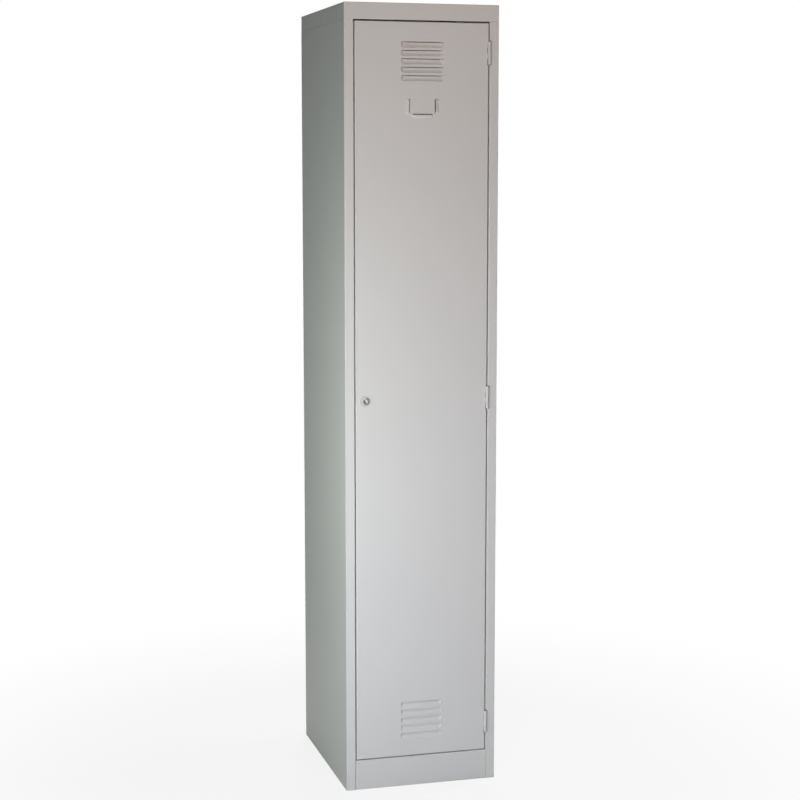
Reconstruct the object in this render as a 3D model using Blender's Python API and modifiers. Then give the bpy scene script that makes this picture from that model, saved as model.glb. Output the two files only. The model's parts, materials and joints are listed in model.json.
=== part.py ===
"""Single-door steel clothes locker: folded carcass, pan door with pressed vents, rolled hinges, cam lock.

Metres, +Z up. The front faces -Y and the origin is the centre of the bottom of the whole locker's box.
"""

from math import acos, cos, pi, radians, sin, tau

import bmesh
import bpy
from mathutils import Matrix, Vector

# Carcass
HEIGHT = 1.850
WIDTH = 0.370
DEPTH = 0.450
SHEET = 0.0008
BEND = 0.0020
CLEARANCE = 0.0003
STILE = 0.0225
JAMB = 0.0200
STOP = 0.0120
REAR_FLANGE = 0.0150
HEADER = 0.0380
HEAD_RAIL_FLANGE = 0.0200
CAP_LIP = 0.0120
CAP_LIP_INSET = 0.0300
PLINTH = 0.0720
PLINTH_RETURN = 0.0150
PLINTH_LIP = 0.0120
FLOOR_STEP = 0.0120
TRAY_FLANGE = 0.0250

# Hat shelf and hanging rail
SHELF_DROP = 0.3100
SHELF_SETBACK = 0.0450
SHELF_HEM = 0.0100
SHELF_HEM_INSET = 0.0040
RAIL_RADIUS = 0.0095
RAIL_WALL = 0.0012
RAIL_DROP = 0.0600
RAIL_END_ROOM = 0.0080
RAIL_OVERHANG = 0.0020
CAP_HEAD_RADIUS = 0.0125
CAP_HEAD = 0.0025
CAP_PLUG = 0.0120
BRACKET_SHEET = 0.0015
BRACKET_WIDTH = 0.0340
BRACKET_FLANGE = 0.0240
BRACKET_TIP = 0.0170
BRACKET_CORNER = 0.0120
RIVET_RADIUS = 0.0020
RIVET_HEAD_RADIUS = 0.0040
RIVET_HEAD = 0.0014
RIVET_SPACING = 0.0180

# Door
DOOR_GAP = 0.0025
DOOR_END_GAP = 0.0030
DOOR_THICK = 0.0180
DOOR_LIP = 0.0120
STIFFENER_FLANGE = 0.0140
STIFFENER_WEB = 0.0120
STIFFENER_CROWN = 0.0400
STIFFENER_MARGIN = 0.0250
BUMPER_RADIUS = 0.0040
BUMPER_STEM = 0.0020
BUMPER_BULB = 0.0028
BUMPER_TAIL = 0.0030
BUMPER_EDGE = 0.0005
BUMPER_INSET = 0.3300

# Vents and card holder pressed in the door
VENTS = 5
VENT_LENGTH = 0.1010
VENT_PITCH = 0.0190
VENT_WIDTH = 0.0125
VENT_DEPTH = 0.0050
VENT_SLIT = 0.0016
VENT_WALL = 0.0050
VENT_END = 0.0050
VENT_TOP_MARGIN = 0.0455
VENT_BOTTOM_MARGIN = 0.0425
CARD_DROP = 0.1740
CARD_WIDTH = 0.0600
TAB_LENGTH = 0.0350
TAB_WIDTH = 0.0105
TAB_PROUD = 0.0025
TAB_SLIT = 0.0012
TAB_WALL = 0.0060
TAB_END = 0.0030
LOWER_TAB_LENGTH = 0.0500

# Hinges
HINGE_INSET = 0.0690
HINGE_LENGTH = 0.0520
HINGE_PROUD = 0.0015
KNUCKLES = 4
LEAF = 0.0012
LEAF_DEPTH = 0.0150
KNUCKLE_ROLL = radians(300)
HINGE_ROOM = 0.0005
PIN_HEAD_RADIUS = 0.0030
PIN_HEAD = 0.0010
PIN_TAIL = 0.0006

# Cam lock
LOCK_HEIGHT = 0.9370
LOCK_INSET = 0.0225
LOCK_HEAD_RADIUS = 0.0110
LOCK_HEAD = 0.0050
LOCK_HEAD_CHAMFER = 0.0012
LOCK_BODY_RADIUS = 0.0090
LOCK_FLAT = 0.0080
PLUG_RADIUS = 0.0062
PLUG_RECESS = 0.0008
PLUG_TAIL_RADIUS = 0.0042
PLUG_TAIL_FLAT = 0.0031
KEYWAY_LENGTH = 0.0088
KEYWAY_WIDTH = 0.0020
KEYWAY_DEPTH = 0.0120
KEYWAY_TILT = radians(32)
NUT_FLATS = 0.0220
NUT_THICK = 0.0040
NUT_SIDES = 6
CAM_ROOM = 0.0007
CAM_THICK = 0.0020
CAM_LENGTH = 0.0260
CAM_EYE_RADIUS = 0.0080
CAM_TIP_RADIUS = 0.0055
SCREW_RADIUS = 0.0020
SCREW_HEAD_RADIUS = 0.0048
SCREW_HEAD = 0.0028
SCREW_LENGTH = 0.0080

# Rounded heads: the share of the radius that is flat on top, and of the height where the rounding starts
CROWN = 0.7
SHOULDER = 0.5

# Facets and tolerances
BEND_STEPS = 2
PRESS_STEPS = 3
CORNER_STEPS = 4
ROLL_STEPS = 14
ROUND_SIDES = 24
FOLD_ANGLE = radians(60)
SHARP_ANGLE = radians(35)
FACING_ANGLE = radians(25)
OVERCUT = 0.0010
TOLERANCE = 0.00001

# Places worked out from the sizes
HALF_WIDTH = WIDTH / 2
KNUCKLE_RADIUS = DOOR_GAP / 2 + SHEET + CLEARANCE + LEAF
PIN_RADIUS = KNUCKLE_RADIUS - LEAF - CLEARANCE
PROUD = max(LOCK_HEAD + CLEARANCE, HINGE_PROUD + KNUCKLE_RADIUS)
FRONT = (PROUD - DEPTH) / 2
BACK = FRONT + DEPTH
HEADER_BOTTOM = HEIGHT - HEADER
JAMB_X = HALF_WIDTH - STILE
STOP_BACK = FRONT + JAMB + SHEET
INNER_HALF = HALF_WIDTH - SHEET - CLEARANCE
INNER_BACK = BACK - 2 * SHEET - 2 * CLEARANCE
FLOOR_TOP = PLINTH + FLOOR_STEP
SHELF_TOP = HEIGHT - SHELF_DROP
SHELF_UNDER = SHELF_TOP - SHEET
RAIL_Y = (FRONT + SHELF_SETBACK + INNER_BACK) / 2
RAIL_Z = SHELF_UNDER - RAIL_DROP
BRACKET_X = HALF_WIDTH - SHEET - RAIL_END_ROOM
BRACKET_TOP = SHELF_UNDER - CLEARANCE
RAIL_HALF = BRACKET_X + RAIL_OVERHANG
DOOR_HALF = JAMB_X - DOOR_GAP
DOOR_BOTTOM = PLINTH + DOOR_END_GAP
DOOR_TOP = HEADER_BOTTOM - DOOR_END_GAP
DOOR_INSIDE = FRONT + SHEET
HINGE_X = DOOR_HALF + DOOR_GAP / 2
HINGE_Y = FRONT - HINGE_PROUD
HINGE_HEIGHTS = {"top": DOOR_TOP - HINGE_INSET, "middle": LOCK_HEIGHT, "bottom": DOOR_BOTTOM + HINGE_INSET}
LOCK_X = LOCK_INSET - DOOR_HALF
CAM_FRONT = STOP_BACK + CAM_ROOM
CAM_BACK = CAM_FRONT + CAM_THICK
VENT_TOPS = (DOOR_TOP - VENT_TOP_MARGIN,
             DOOR_BOTTOM + VENT_BOTTOM_MARGIN + (VENTS - 1) * VENT_PITCH + VENT_WIDTH)
CARD_TOP = DOOR_TOP - CARD_DROP
CARD_BOTTOM = CARD_TOP - TAB_LENGTH

# Finishes: colour, roughness, metallic
PAINT = ((0.60, 0.61, 0.60, 1.0), 0.45, 0.0)
CHROME = ((0.80, 0.80, 0.80, 1.0), 0.12, 1.0)
STEEL = ((0.58, 0.58, 0.57, 1.0), 0.32, 1.0)
BLACK_PLASTIC = ((0.03, 0.03, 0.03, 1.0), 0.50, 0.0)
RUBBER = ((0.05, 0.05, 0.05, 1.0), 0.80, 0.0)

X_AXIS = Vector((1, 0, 0))
Y_AXIS = Vector((0, 1, 0))
Z_AXIS = Vector((0, 0, 1))


# Scene helpers

def clear_scene():
    for obj in list(bpy.data.objects):
        bpy.data.objects.remove(obj, do_unlink=True)


def new_collection(name):
    collection = bpy.data.collections.new(name)
    bpy.context.scene.collection.children.link(collection)
    return collection


def material(name, finish):
    colour, roughness, metallic = finish
    made = bpy.data.materials.new(name)
    made.use_nodes = True
    shader = made.node_tree.nodes["Principled BSDF"]
    shader.inputs["Base Color"].default_value = colour
    shader.inputs["Roughness"].default_value = roughness
    shader.inputs["Metallic"].default_value = metallic
    made.diffuse_color = colour
    return made


def world_place(obj):
    return obj.location + world_place(obj.parent) if obj.parent else obj.location.copy()


def add_empty(name, place, parent=None):
    empty = bpy.data.objects.new(name, None)
    empty.parent = parent
    empty.location = Vector(place) - (world_place(parent) if parent else Vector())
    PARTS.objects.link(empty)
    return empty


def add_part(name, data, finish, pivot, place=(0, 0, 0)):
    """A named piece at a place in the locker's frame, carried by a pivot."""
    part = bpy.data.objects.new(name, data)
    data.materials.append(material(name, finish))
    part.parent = pivot
    part.location = Vector(place) - world_place(pivot)
    PARTS.objects.link(part)
    return part


def add_cutter(name, mesh):
    cutter = bpy.data.objects.new(name, mesh)
    cutter.hide_render = True
    cutter.display_type = "WIRE"
    CUTTERS.objects.link(cutter)
    return cutter


def boolean(part, mesh, operation="DIFFERENCE"):
    cutter = add_cutter(f"{part.name}_{operation.lower()}", mesh)
    modifier = part.modifiers.new(cutter.name, "BOOLEAN")
    modifier.operation = operation
    modifier.object = cutter


# Mesh helpers

def mesh_of(bm, name):
    mesh = bpy.data.meshes.new(name)
    bm.to_mesh(mesh)
    bm.free()
    return mesh


def round_shading(mesh):
    mesh.shade_smooth()
    mesh.set_sharp_from_angle(angle=SHARP_ANGLE)
    return mesh


def box(name, low, high):
    low = Vector(low)
    high = Vector(high)
    bm = bmesh.new()
    bmesh.ops.create_cube(bm, size=1)
    bmesh.ops.scale(bm, vec=high - low, verts=bm.verts)
    bmesh.ops.translate(bm, vec=(low + high) / 2, verts=bm.verts)
    return mesh_of(bm, name)


def bar(name, radius, start, end, flat=None):
    """A round bar from start to end, with two flats at plus and minus X where a flat is given."""
    start = Vector(start)
    run = Vector(end) - start
    turn = Z_AXIS.rotation_difference(run).to_matrix().to_4x4()
    bm = bmesh.new()
    bmesh.ops.create_cone(bm, cap_ends=True, segments=ROUND_SIDES, radius1=radius, radius2=radius,
                          depth=run.length)
    bmesh.ops.transform(bm, matrix=Matrix.Translation(start + run / 2) @ turn, verts=bm.verts)
    for side in (-1, 1) if flat else ():
        cut = bmesh.ops.bisect_plane(
            bm, geom=bm.verts[:] + bm.edges[:] + bm.faces[:], clear_outer=True,
            plane_co=start + X_AXIS * side * flat, plane_no=X_AXIS * side)
        edges = [item for item in cut["geom_cut"] if isinstance(item, bmesh.types.BMEdge)]
        bmesh.ops.holes_fill(bm, edges=edges)
    bmesh.ops.recalc_face_normals(bm, faces=bm.faces)
    return round_shading(mesh_of(bm, name))


def rounded_head(radius, height):
    """Profile of a low rounded head, from its top's middle down to its foot."""
    return [(0, height), (radius * CROWN, height), (radius, height * SHOULDER), (radius, 0)]


def turned(name, profile, finish, pivot, place, facing):
    """A profile of (radius, height) points, from its top down its outer side, turned about an axis."""
    bm = bmesh.new()
    points = [bm.verts.new((radius, 0, height)) for radius, height in profile]
    for upper, lower in zip(points, points[1:]):
        bm.edges.new((upper, lower))
    if profile[0][0] and profile[-1][0]:
        bm.edges.new((points[-1], points[0]))
    part = add_part(name, mesh_of(bm, name), finish, pivot, place)
    part.rotation_euler = Z_AXIS.rotation_difference(Vector(facing)).to_euler()
    screw = part.modifiers.new("turn", "SCREW")
    screw.steps = ROUND_SIDES
    screw.render_steps = ROUND_SIDES
    screw.use_merge_vertices = True
    screw.merge_threshold = TOLERANCE
    part.modifiers.new("shading", "WEIGHTED_NORMAL")
    return part


def facing(face, way):
    return face.normal.angle(way) < FACING_ANGLE


def reversed_if(bm, wrong):
    if wrong:
        bmesh.ops.reverse_faces(bm, faces=bm.faces)


def folded(path, lift, levels, drop=None):
    """An open sheet: a path of (u, v) points carried along w, with its outer side on the path's right."""
    bm = bmesh.new()
    verts = [bm.verts.new(lift(u, v, levels[0])) for u, v in path]
    edges = [bm.edges.new(pair) for pair in zip(verts, verts[1:])]
    first = verts[0]
    for low, high in zip(levels, levels[1:]):
        made = bmesh.ops.extrude_edge_only(bm, edges=edges)["geom"]
        step = Vector(lift(0, 0, high)) - Vector(lift(0, 0, low))
        edges = [item for item in made if isinstance(item, bmesh.types.BMEdge)]
        verts = [item for item in made if isinstance(item, bmesh.types.BMVert)]
        bmesh.ops.translate(bm, vec=step, verts=verts)
    bmesh.ops.recalc_face_normals(bm, faces=bm.faces)
    bm.normal_update()
    run = (path[1][0] - path[0][0], path[1][1] - path[0][1])
    outward = Vector(lift(run[1], -run[0], 0)) - Vector(lift(0, 0, 0))
    reversed_if(bm, first.link_faces[0].normal.dot(outward) < 0)
    if drop:
        dropped = [face for face in bm.faces if drop(face.calc_center_median())]
        bmesh.ops.delete(bm, geom=dropped, context="FACES")
    return bm


def extrude_edges(bm, edges, move):
    """Draws a rim of edges out to where a function sends each new vertex, and gives back the new rim."""
    made = bmesh.ops.extrude_edge_only(bm, edges=edges)["geom"]
    for item in made:
        if isinstance(item, bmesh.types.BMVert):
            item.co = move(item.co)
    return [item for item in made if isinstance(item, bmesh.types.BMEdge)]


def tray(half, near, far, face, flange):
    """An open sheet with a level face and a flange down each side."""
    bm = bmesh.new()
    bmesh.ops.create_grid(bm, x_segments=1, y_segments=1, size=0.5)
    bmesh.ops.scale(bm, vec=(2 * half, far - near, 1), verts=bm.verts)
    bmesh.ops.translate(bm, vec=(0, (near + far) / 2, face), verts=bm.verts)
    extrude_edges(bm, bm.edges[:], lambda co: co - Z_AXIS * flange)
    bmesh.ops.recalc_face_normals(bm, faces=bm.faces)
    bm.normal_update()
    top = max(bm.faces, key=lambda face: face.calc_center_median().z)
    reversed_if(bm, top.normal.z < 0)
    return bm


def thicken(part, thickness, bend=None):
    """Rounds the folds of an open sheet and gives it its thickness behind its outer side."""
    if bend:
        bevel = part.modifiers.new("folds", "BEVEL")
        bevel.width = bend
        bevel.segments = BEND_STEPS
        bevel.limit_method = "ANGLE"
        bevel.angle_limit = FOLD_ANGLE
    solid = part.modifiers.new("thickness", "SOLIDIFY")
    solid.thickness = thickness
    solid.offset = -1
    solid.use_even_offset = True


def flat_outline(name, outlines, thickness, finish, pivot, place):
    """A plate facing -Y, from closed outlines of (x, z) points: its edge, and then its holes."""
    curve = bpy.data.curves.new(name, "CURVE")
    curve.dimensions = "2D"
    curve.fill_mode = "BOTH"
    curve.extrude = thickness / 2
    for outline in outlines:
        spline = curve.splines.new("POLY")
        spline.points.add(len(outline) - 1)
        spline.use_cyclic_u = True
        for point, (x, z) in zip(spline.points, outline):
            point.co = (x, z, 0, 1)
    part = add_part(name, curve, finish, pivot, place)
    part.rotation_euler = (pi / 2, 0, 0)
    return part


def arc(radius, start, end, steps, centre=(0, 0)):
    angles = [start + (end - start) * step / steps for step in range(steps + 1)]
    return [(centre[0] + radius * cos(angle), centre[1] + radius * sin(angle)) for angle in angles]


def circle(radius):
    return arc(radius, 0, tau, ROUND_SIDES)[:-1]


def double_flat(radius, flat):
    """A circle with two flats at plus and minus x."""
    corner = acos(flat / radius)
    steps = ROUND_SIDES // 4
    return arc(radius, corner, pi - corner, steps) + arc(radius, pi + corner, tau - corner, steps)


def upright(u, v, w):
    return (u, v, w)


def upright_mirrored(u, v, w):
    return (-u, v, w)


def crosswise(u, v, w):
    return (w, u, v)


# Carcass

def side_panel(name, side):
    """Side wall folded round into its front stile, the jamb, the door stop and a rear flange."""
    rear = BACK - SHEET - CLEARANCE
    path = [(JAMB_X - STOP, FRONT + JAMB), (JAMB_X, FRONT + JAMB), (JAMB_X, FRONT),
            (HALF_WIDTH, FRONT), (HALF_WIDTH, rear), (HALF_WIDTH - REAR_FLANGE, rear)]
    top = HEADER_BOTTOM - CLEARANCE
    sheet = folded(path, upright if side > 0 else upright_mirrored, [0, top])
    panel = add_part(name, mesh_of(sheet, name), PAINT, CARCASS)
    thicken(panel, SHEET, BEND)
    room = sorted((side * (JAMB_X - BEND), side * (JAMB_X - STOP - OVERCUT)))
    boolean(panel, box("head_rail_room", (room[0], FRONT + JAMB - BEND, top - STOP),
                       (room[1], STOP_BACK + OVERCUT, top + OVERCUT)))
    return panel


def back_panel():
    low = (-HALF_WIDTH, BACK - SHEET, 0)
    high = (HALF_WIDTH, BACK, HEADER_BOTTOM - CLEARANCE)
    add_part("back_panel", box("back_panel", low, high), PAINT, CARCASS)


def cut_faces(bm, faces, axis, values):
    """Cuts faces of a sheet along lines across one axis."""
    for value in values:
        faces = [face for face in faces if face.is_valid]
        edges = {edge for face in faces for edge in face.edges}
        verts = {vert for face in faces for vert in face.verts}
        made = bmesh.ops.bisect_plane(bm, geom=list(verts) + list(edges) + faces, dist=TOLERANCE,
                                      plane_co=axis * value, plane_no=axis)
        faces = [item for item in made["geom"] if isinstance(item, bmesh.types.BMFace)]
    return faces


def top_cap():
    """Cap with a skirt all round, joggled along each side into a lip inside the side wall."""
    bm = tray(HALF_WIDTH, FRONT, BACK, HEIGHT, HEADER)
    joggle = SHEET + CLEARANCE
    knee = HEADER_BOTTOM + joggle
    ends = (FRONT + CAP_LIP_INSET, BACK - CAP_LIP_INSET)
    skirts = [face for face in bm.faces if facing(face, X_AXIS) or facing(face, -X_AXIS)]
    skirts = cut_faces(bm, skirts, Y_AXIS, ends)
    skirts = [face for face in skirts if ends[0] < face.calc_center_median().y < ends[1]]
    skirts = cut_faces(bm, skirts, Z_AXIS, [knee])
    knees = [edge for edge in bm.edges if all(abs(vert.co.z - knee) < TOLERANCE for vert in edge.verts)]
    lower = [face for face in skirts if face.calc_center_median().z < knee]
    bmesh.ops.delete(bm, geom=lower, context="FACES")

    def step_in(co):
        return Vector((co.x - joggle * (1 if co.x > 0 else -1), co.y, co.z - joggle))

    lip = extrude_edges(bm, knees, step_in)
    extrude_edges(bm, lip, lambda co: co - Z_AXIS * CAP_LIP)
    bmesh.ops.recalc_face_normals(bm, faces=bm.faces)
    thicken(add_part("top_cap", mesh_of(bm, "top_cap"), PAINT, CARCASS), SHEET, BEND)


def head_stop_rail():
    """Rail behind the header: it closes the header's underside and stops the door's top edge."""
    inner = FRONT + SHEET + CLEARANCE
    half = JAMB_X - BEND - CLEARANCE
    path = [(inner, HEADER_BOTTOM + HEAD_RAIL_FLANGE), (inner, HEADER_BOTTOM),
            (FRONT + JAMB, HEADER_BOTTOM), (FRONT + JAMB, HEADER_BOTTOM - STOP)]
    rail = mesh_of(folded(path, crosswise, [-half, half]), "head_stop_rail")
    thicken(add_part("head_stop_rail", rail, PAINT, CARCASS), SHEET, BEND)


def front_plinth():
    back = FRONT + JAMB - BEND
    half = JAMB_X - CLEARANCE
    path = [(back, PLINTH - PLINTH_LIP), (back, PLINTH), (FRONT, PLINTH), (FRONT, 0),
            (FRONT + PLINTH_RETURN, 0)]
    plinth = mesh_of(folded(path, crosswise, [-half, half]), "front_plinth")
    thicken(add_part("front_plinth", plinth, PAINT, CARCASS), SHEET, BEND)


def floor_panel():
    bm = tray(INNER_HALF, STOP_BACK + CLEARANCE, INNER_BACK, FLOOR_TOP, TRAY_FLANGE)
    thicken(add_part("floor_panel", mesh_of(bm, "floor_panel"), PAINT, CARCASS), SHEET, BEND)


# Hat shelf and hanging rail

def rivet_places():
    x = BRACKET_X - (BRACKET_FLANGE + BRACKET_SHEET) / 2
    for side, sign in (("left", -1), ("right", 1)):
        for end, step in (("front", -1), ("rear", 1)):
            yield f"{side}_{end}", (sign * x, RAIL_Y + step * RIVET_SPACING / 2)


def drill_rivet_holes(part, top, bottom, places):
    for x, y in places:
        boolean(part, bar("rivet_hole", RIVET_RADIUS + CLEARANCE, (x, y, bottom - OVERCUT),
                          (x, y, top + OVERCUT)))


def hat_shelf():
    """Shelf tray whose front flange is hemmed back under."""
    near = FRONT + SHELF_SETBACK
    bm = tray(INNER_HALF, near, INNER_BACK, SHELF_TOP, TRAY_FLANGE)
    ends = (SHELF_HEM_INSET - INNER_HALF, INNER_HALF - SHELF_HEM_INSET)
    flange = [face for face in bm.faces if facing(face, -Y_AXIS)]
    cut_faces(bm, flange, X_AXIS, ends)
    hem = [edge for edge in bm.edges
           if all(abs(vert.co.y - near) < TOLERANCE and vert.co.z < SHELF_TOP - TRAY_FLANGE + TOLERANCE
                  and abs(vert.co.x) < ends[1] + TOLERANCE for vert in edge.verts)]
    extrude_edges(bm, hem, lambda co: co + Y_AXIS * SHELF_HEM)
    bmesh.ops.recalc_face_normals(bm, faces=bm.faces)
    shelf = add_part("hat_shelf", mesh_of(bm, "hat_shelf"), PAINT, CARCASS)
    thicken(shelf, SHEET, BEND)
    drill_rivet_holes(shelf, SHELF_TOP, SHELF_UNDER, [place for _, place in rivet_places()])


def hanging_rail():
    inner = RAIL_RADIUS - RAIL_WALL
    profile = [(RAIL_RADIUS, RAIL_HALF), (RAIL_RADIUS, -RAIL_HALF), (inner, -RAIL_HALF), (inner, RAIL_HALF)]
    turned("hanging_rail", profile, STEEL, CARCASS, (0, RAIL_Y, RAIL_Z), X_AXIS)


def rail_fittings(side, sign):
    """Bracket under the shelf at one end of the rail, and the cap in the rail's end."""
    path = [(BRACKET_X, RAIL_Z - BRACKET_TIP), (BRACKET_X, BRACKET_TOP),
            (BRACKET_X - BRACKET_FLANGE, BRACKET_TOP)]
    ends = [RAIL_Y - BRACKET_WIDTH / 2, RAIL_Y + BRACKET_WIDTH / 2]
    bm = folded(path, lambda u, v, w: (sign * u, w, v), ends)
    corners = [vert for vert in bm.verts if vert.co.z < RAIL_Z]
    bmesh.ops.bevel(bm, geom=corners, affect="VERTICES", offset=BRACKET_CORNER, segments=CORNER_STEPS,
                     profile=0.5)
    bracket = add_part(f"rail_bracket_{side}", mesh_of(bm, "rail_bracket"), STEEL, CARCASS)
    thicken(bracket, BRACKET_SHEET, BEND)
    boolean(bracket, bar("rail_hole", RAIL_RADIUS + CLEARANCE,
                         (sign * (BRACKET_X - BRACKET_SHEET - OVERCUT), RAIL_Y, RAIL_Z),
                         (sign * (BRACKET_X + OVERCUT), RAIL_Y, RAIL_Z)))
    places = [place for name, place in rivet_places() if name.startswith(side)]
    drill_rivet_holes(bracket, BRACKET_TOP, BRACKET_TOP - BRACKET_SHEET, places)
    plug = RAIL_RADIUS - RAIL_WALL - CLEARANCE
    profile = [(0, CAP_HEAD), (CAP_HEAD_RADIUS - OVERCUT, CAP_HEAD), (CAP_HEAD_RADIUS, CAP_HEAD - OVERCUT),
               (CAP_HEAD_RADIUS, 0), (plug, 0), (plug, -CAP_PLUG), (0, -CAP_PLUG)]
    place = (sign * (RAIL_HALF + CLEARANCE), RAIL_Y, RAIL_Z)
    turned(f"rail_end_cap_{side}", profile, BLACK_PLASTIC, CARCASS, place, X_AXIS * sign)


def rivet(name, place):
    """Rivet through the shelf and a bracket's flange, with a head on each side."""
    top = SHELF_TOP + CLEARANCE
    grip = top - (BRACKET_TOP - BRACKET_SHEET - CLEARANCE)
    head = rounded_head(RIVET_HEAD_RADIUS, RIVET_HEAD)
    tail = [(radius, -grip - height) for radius, height in reversed(head)]
    profile = head + [(RIVET_RADIUS, 0), (RIVET_RADIUS, -grip)] + tail
    turned(f"bracket_rivet_{name}", profile, STEEL, CARCASS, (*place, top), Z_AXIS)


# Door

class Pressing:
    """A rectangle of the door sheet, slit along one side and pressed in or out towards that side.

    It runs along one axis from -length/2 to length/2 about its middle, and across from its slit side.
    """

    def __init__(self, middle, along, across, length, width, slit, wall, end, depth):
        self.middle = Vector((middle[0], FRONT, middle[1]))
        self.along = along
        self.across = across
        self.length = length
        self.width = width
        self.slit = slit
        self.wall = wall
        self.end = end
        self.depth = depth

    def local(self, co):
        offset = co - self.middle
        return offset.dot(self.along), offset.dot(self.across)

    def holds(self, co):
        u, v = self.local(co)
        return abs(u) < self.length / 2 and 0 < v < self.width

    def in_slit(self, co):
        return self.holds(co) and self.local(co)[1] < self.slit

    def lines(self):
        """Where the sheet is cut: places along each axis where the form bends."""
        steps = [self.end * step / PRESS_STEPS for step in range(PRESS_STEPS + 1)]
        along = [side * (self.length / 2 - step) for side in (-1, 1) for step in steps]
        across = [self.width - self.wall * step / PRESS_STEPS for step in range(PRESS_STEPS + 1)]
        across += [0, self.slit]
        for axis, values in ((self.along, along), (self.across, across)):
            yield axis, [self.middle.dot(axis) + value for value in values]

    def push(self, co):
        """How far a point of the sheet is pressed: full at the slit's lip, none at the other three sides."""
        u, v = self.local(co)
        if not self.holds(co) or v < self.slit - TOLERANCE:
            return 0
        from_end = min((self.length / 2 - abs(u)) / self.end, 1)
        from_wall = min((self.width - v) / self.wall, 1)
        return self.depth * (1 - cos(pi * from_end)) / 2 * (1 - cos(pi * from_wall)) / 2


def vents(top):
    for row in range(VENTS):
        yield Pressing((0, top - row * VENT_PITCH), X_AXIS, -Z_AXIS, VENT_LENGTH, VENT_WIDTH,
                       VENT_SLIT, VENT_WALL, VENT_END, VENT_DEPTH)


def card_tabs():
    """Tabs that hold a card by its sides and its bottom edge, open towards the card."""
    height = CARD_TOP - TAB_LENGTH / 2
    for side in (-1, 1):
        yield Pressing((side * CARD_WIDTH / 2, height), Z_AXIS, X_AXIS * side, TAB_LENGTH, TAB_WIDTH,
                       TAB_SLIT, TAB_WALL, TAB_END, -TAB_PROUD)
    yield Pressing((0, CARD_BOTTOM), X_AXIS, -Z_AXIS, LOWER_TAB_LENGTH, TAB_WIDTH,
                   TAB_SLIT, TAB_WALL, TAB_END, -TAB_PROUD)


def press(bm, pressings):
    """Cuts a group of pressings out of the flat sheet along their own lines, slits them and forms them."""
    lines = [line for pressing in pressings for line in pressing.lines()]
    heights = [value * axis.z for axis, values in lines if axis.z for value in values]
    places = [value * axis.x for axis, values in lines if axis.x for value in values]
    sheet = [face for face in bm.faces if facing(face, -Y_AXIS)]
    limits = (min(heights), max(heights))
    band = cut_faces(bm, sheet, Z_AXIS, limits)
    band = [face for face in band if face.is_valid and limits[0] < face.calc_center_median().z < limits[1]]
    sides = (min(places), max(places))
    patch = cut_faces(bm, band, X_AXIS, sides)
    patch = [face for face in patch if face.is_valid and sides[0] < face.calc_center_median().x < sides[1]]
    patch = cut_faces(bm, patch, X_AXIS, distinct(places))
    patch = cut_faces(bm, patch, Z_AXIS, distinct(heights))
    for pressing in pressings:
        slit = [face for face in patch if face.is_valid and pressing.in_slit(face.calc_center_median())]
        bmesh.ops.delete(bm, geom=slit, context="FACES")
    verts = {vert for face in patch if face.is_valid for vert in face.verts}
    moves = [(vert, sum(pressing.push(vert.co) for pressing in pressings)) for vert in verts]
    for vert, move in moves:
        vert.co.y += move


def distinct(values):
    """The inner values of a list in order, without the ends and without those that lie on one another."""
    kept = []
    for value in sorted(values):
        if not kept or value - kept[-1] > TOLERANCE:
            kept.append(value)
    return kept[1:-1]


def door_panel():
    """Door: a pan with its edges folded back and in, and the vents and card holder pressed in its face."""
    middle = (DOOR_TOP + DOOR_BOTTOM) / 2
    bm = bmesh.new()
    bmesh.ops.create_grid(bm, x_segments=1, y_segments=1, size=0.5)
    bmesh.ops.scale(bm, vec=(2 * DOOR_HALF, DOOR_TOP - DOOR_BOTTOM, 1), verts=bm.verts)
    bmesh.ops.rotate(bm, cent=(0, 0, 0), matrix=Matrix.Rotation(pi / 2, 3, "X"), verts=bm.verts)
    bmesh.ops.translate(bm, vec=(0, FRONT, middle), verts=bm.verts)
    rim = extrude_edges(bm, bm.edges[:], lambda co: co + Y_AXIS * DOOR_THICK)

    def fold_in(co):
        x = max(min(co.x, DOOR_HALF - DOOR_LIP), DOOR_LIP - DOOR_HALF)
        z = max(min(co.z, DOOR_TOP - DOOR_LIP), DOOR_BOTTOM + DOOR_LIP)
        return Vector((x, co.y, z))

    extrude_edges(bm, rim, fold_in)
    bmesh.ops.recalc_face_normals(bm, faces=bm.faces)
    bm.normal_update()
    face = min(bm.faces, key=lambda face: face.calc_center_median().y)
    reversed_if(bm, face.normal.y > 0)
    bm.normal_update()
    for pressings in (vents(VENT_TOPS[0]), vents(VENT_TOPS[1]), card_tabs()):
        press(bm, list(pressings))
        bm.normal_update()
    door = add_part("door_panel", mesh_of(bm, "door_panel"), PAINT, DOOR)
    thicken(door, SHEET, BEND)
    boolean(door, bar("lock_hole", LOCK_BODY_RADIUS + CLEARANCE, (LOCK_X, FRONT - OVERCUT, LOCK_HEIGHT),
                      (LOCK_X, DOOR_INSIDE + OVERCUT, LOCK_HEIGHT), LOCK_FLAT + CLEARANCE))
    return door


def door_stiffener():
    """Folded hat channel inside the door, between the lower vents and the card holder."""
    seat = DOOR_INSIDE + CLEARANCE
    half = STIFFENER_CROWN / 2
    path = [(-half - STIFFENER_FLANGE, seat), (-half, seat), (-half, seat + STIFFENER_WEB),
            (half, seat + STIFFENER_WEB), (half, seat), (half + STIFFENER_FLANGE, seat)]
    ends = [VENT_TOPS[1] + STIFFENER_MARGIN, CARD_BOTTOM - TAB_WIDTH - STIFFENER_MARGIN]
    channel = mesh_of(folded(path, upright, ends), "door_stiffener")
    thicken(add_part("door_stiffener", channel, PAINT, DOOR), SHEET, BEND)


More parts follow.
